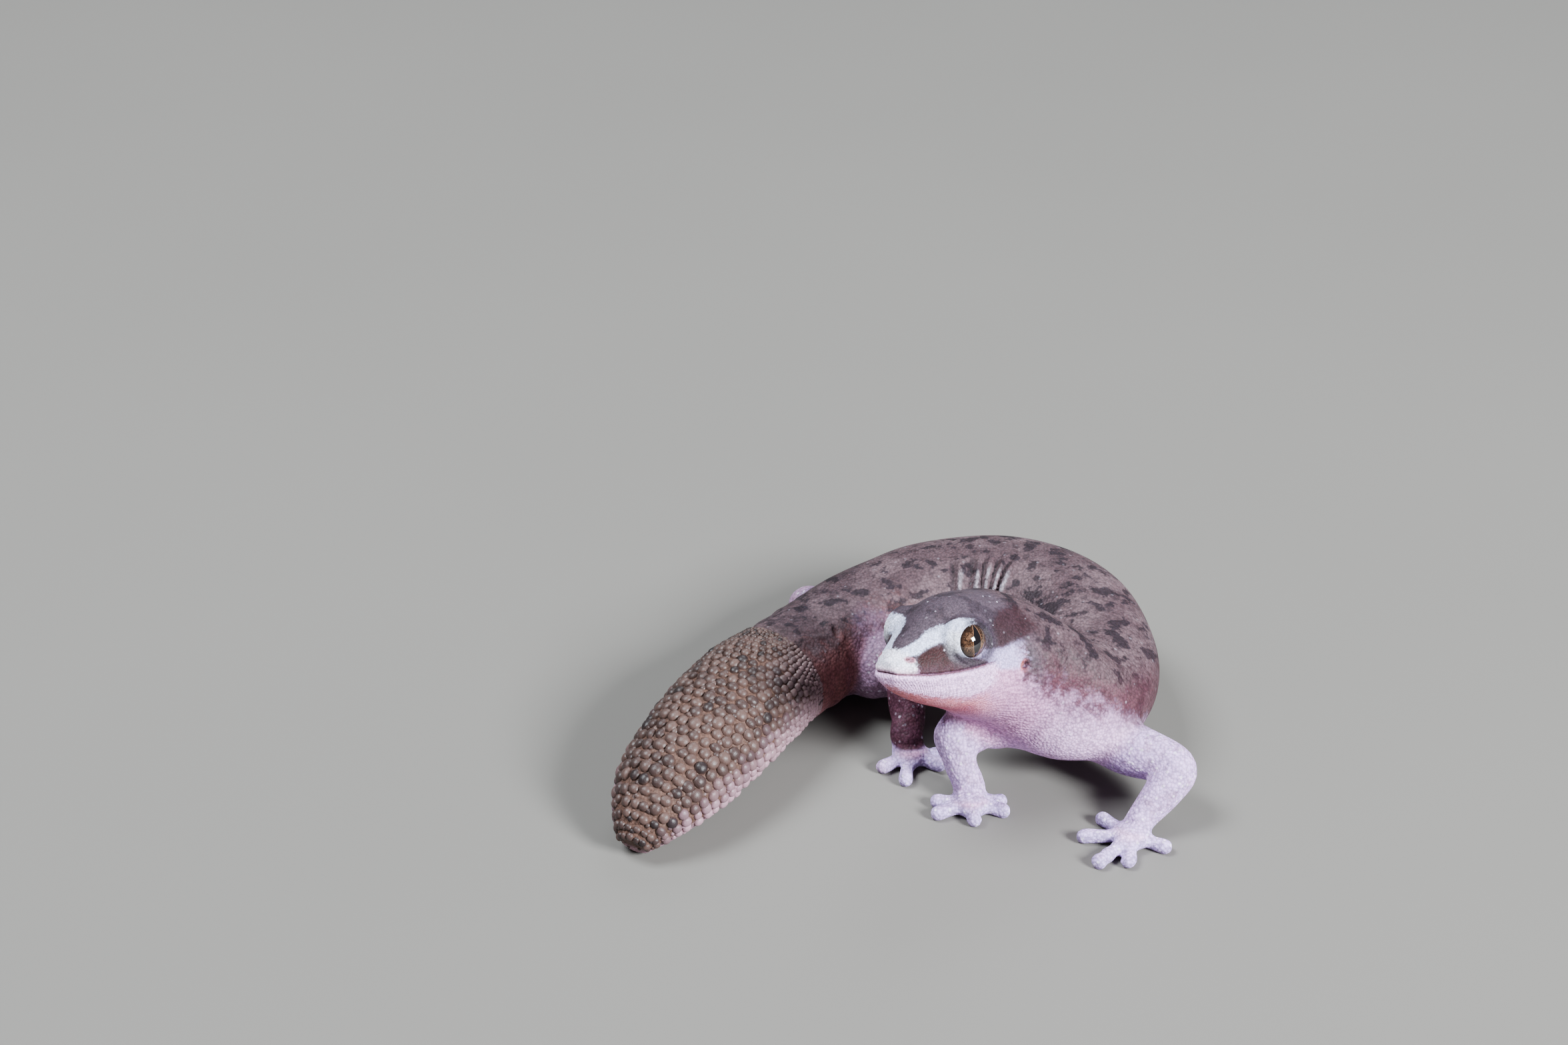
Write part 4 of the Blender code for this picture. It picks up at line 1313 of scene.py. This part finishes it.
def scale_finish():
    """Tail scales: grey-brown domes, some near black, pale low down, with painted light on the shaded
    inner side of the root.
    """
    scale = Finish("tail_scales", 0.35)
    tint = scale["tint"]
    rise = scale["rise"]
    broad = scale.noise(4.0, 2.0)
    scale.colour = scale.mix((tint * 0.7 + broad * 0.5).step(0.3, 0.95), TAIL_SCALE, TAIL_SCALE_LIGHT)
    scale.lay((tint + (broad - 0.5)).step(0.14, 0.02) * 0.7, TAIL_SCALE_DARK)
    scale.lay(scale["low"], TAIL_LOW)
    # Painted light on the shaded scales inside the tail's root
    scale.lay(scale["root"] * (0.45 + tint * 0.45), TAIL_ROOT_PAINTED_LIGHT)
    scale.lay(scale["dark"] * 0.85, TAIL_SCALE_DARK)
    scale.lay(rise.step(0.75, 0.0) * 0.45, TAIL_SKIN)
    fine = scale.noise(0.16, 2.0)
    scale.shade(0.85 + fine * 0.3)
    scale.surface("Roughness", 0.36 + fine * 0.16)
    scale.surface("Specular IOR Level", 0.32)
    scale.bump(fine, 0.03)
    return scale.material


def eye_finish():
    """Bronze iris with fine dark lines and painted shade from the lids at its top and edge, a dark slit
    pupil and a wet surface.
    """
    eye = Finish("eye", 0.06)
    along = eye["iris_along"]
    up = eye["iris_up"]
    wobble = (eye.noise(0.30, 1.0) - 0.5) * 0.10
    half = (1 - (up / PUPIL_HEIGHT) ** 2.0).step(0.0, 1.4) * (PUPIL_HALF * 1.25)
    inside = abs(along) + wobble - half
    lines = abs(eye.noise(0.34, 2.5, 0.6) - 0.5).step(0.055, 0.015)
    lines = lines + abs(eye.noise(0.22, 2.0, 0.5) - 0.48).step(0.045, 0.010) * 0.7
    eye.colour = eye.mix(eye.noise(0.5, 2.0).step(0.35, 0.75), IRIS, IRIS_EDGE)
    eye.lay(lines * 0.9, IRIS_DARK)
    reach = (along ** 2.0 + up ** 2.0) ** 0.5
    # Painted shadow of the upper lid on the top of the iris, and painted shade from the lids round its
    # edge
    eye.lay(up.step(0.45, 1.25) * 0.7, IRIS_DARK)
    eye.lay(reach.step(0.88, 1.28), IRIS_DARK)
    eye.lay(inside.step(0.12, 0.05), IRIS_EDGE)
    eye.lay(inside.step(0.045, 0.015), PUPIL)
    eye.surface("Base Color", eye.colour)
    eye.surface("Coat Weight", 1.0)
    eye.surface("Coat Roughness", 0.02)
    return eye.material


def floor_finish():
    floor = Finish("floor", 0.8)
    tone = floor.noise(60.0, 2.0)
    floor.surface("Base Color", floor.mix(tone, FLOOR, FLOOR_LIGHT))
    return floor.material


# Studio

def make_floor():
    half = FLOOR_HALF
    corners = [(-half, -half, 0), (half, -half, 0), (half, half, 0), (-half, half, 0)]
    floor = mesh_object("floor", corners, [(0, 1, 2, 3)])
    floor.data.materials.append(floor_finish())
    floor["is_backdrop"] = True


def make_lamp(name, way, distance, size, power, colour):
    """A soft square lamp in a direction from the animal, facing it."""
    data = bpy.data.lights.new(name, "AREA")
    data.shape = "SQUARE"
    data.size = size
    data.energy = power
    data.color = colour
    lamp = bpy.data.objects.new(name, data)
    way = Vector(way).normalized()
    lamp.location = way * distance
    lamp.rotation_euler = way.to_track_quat("Z", "Y").to_euler()
    bpy.context.collection.objects.link(lamp)


def make_studio():
    make_floor()
    for name, settings in LAMPS.items():
        make_lamp(name, *settings)
    world = bpy.data.worlds.new("studio")
    world.use_nodes = True
    sky = world.node_tree.nodes["Background"]
    sky.inputs["Color"].default_value = SKY
    sky.inputs["Strength"].default_value = SKY_STRENGTH
    bpy.context.scene.world = world
    camera_data = bpy.data.cameras.new("camera")
    camera_data.lens = CAMERA_LENS
    camera_data.sensor_width = 36.0
    camera_data.clip_start = 0.005
    camera = bpy.data.objects.new("camera", camera_data)
    camera.location = to_world(CAMERA)
    camera.rotation_euler = (math.radians(90 - CAMERA_TILT), 0.0, 0.0)
    bpy.context.collection.objects.link(camera)
    bpy.context.scene.camera = camera


def dress():
    """Make every piece, hang each on the root body, hide the imported solids it stands in for, and
    finish it.
    """
    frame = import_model()
    packed_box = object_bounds()
    skin, tree = make_skin()
    mark_skin(skin)
    skin.data.materials.append(hide_finish())
    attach(skin, "root")
    eyes = ("left_eye", "right_eye")
    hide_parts(*[name for name in frame["nodes"] if name not in eyes])
    scales = make_tail_scales(tree)
    scales.data.materials.append(scale_finish())
    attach(scales, "root")
    gloss = eye_finish()
    for side, name in ((1, "left_eye"), (-1, "right_eye")):
        eye = make_eye(side)
        eye.data.materials.append(gloss)
        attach(eye, "root")
        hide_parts(name)
    make_studio()
    return packed_box


PACKED_BOX = dress()
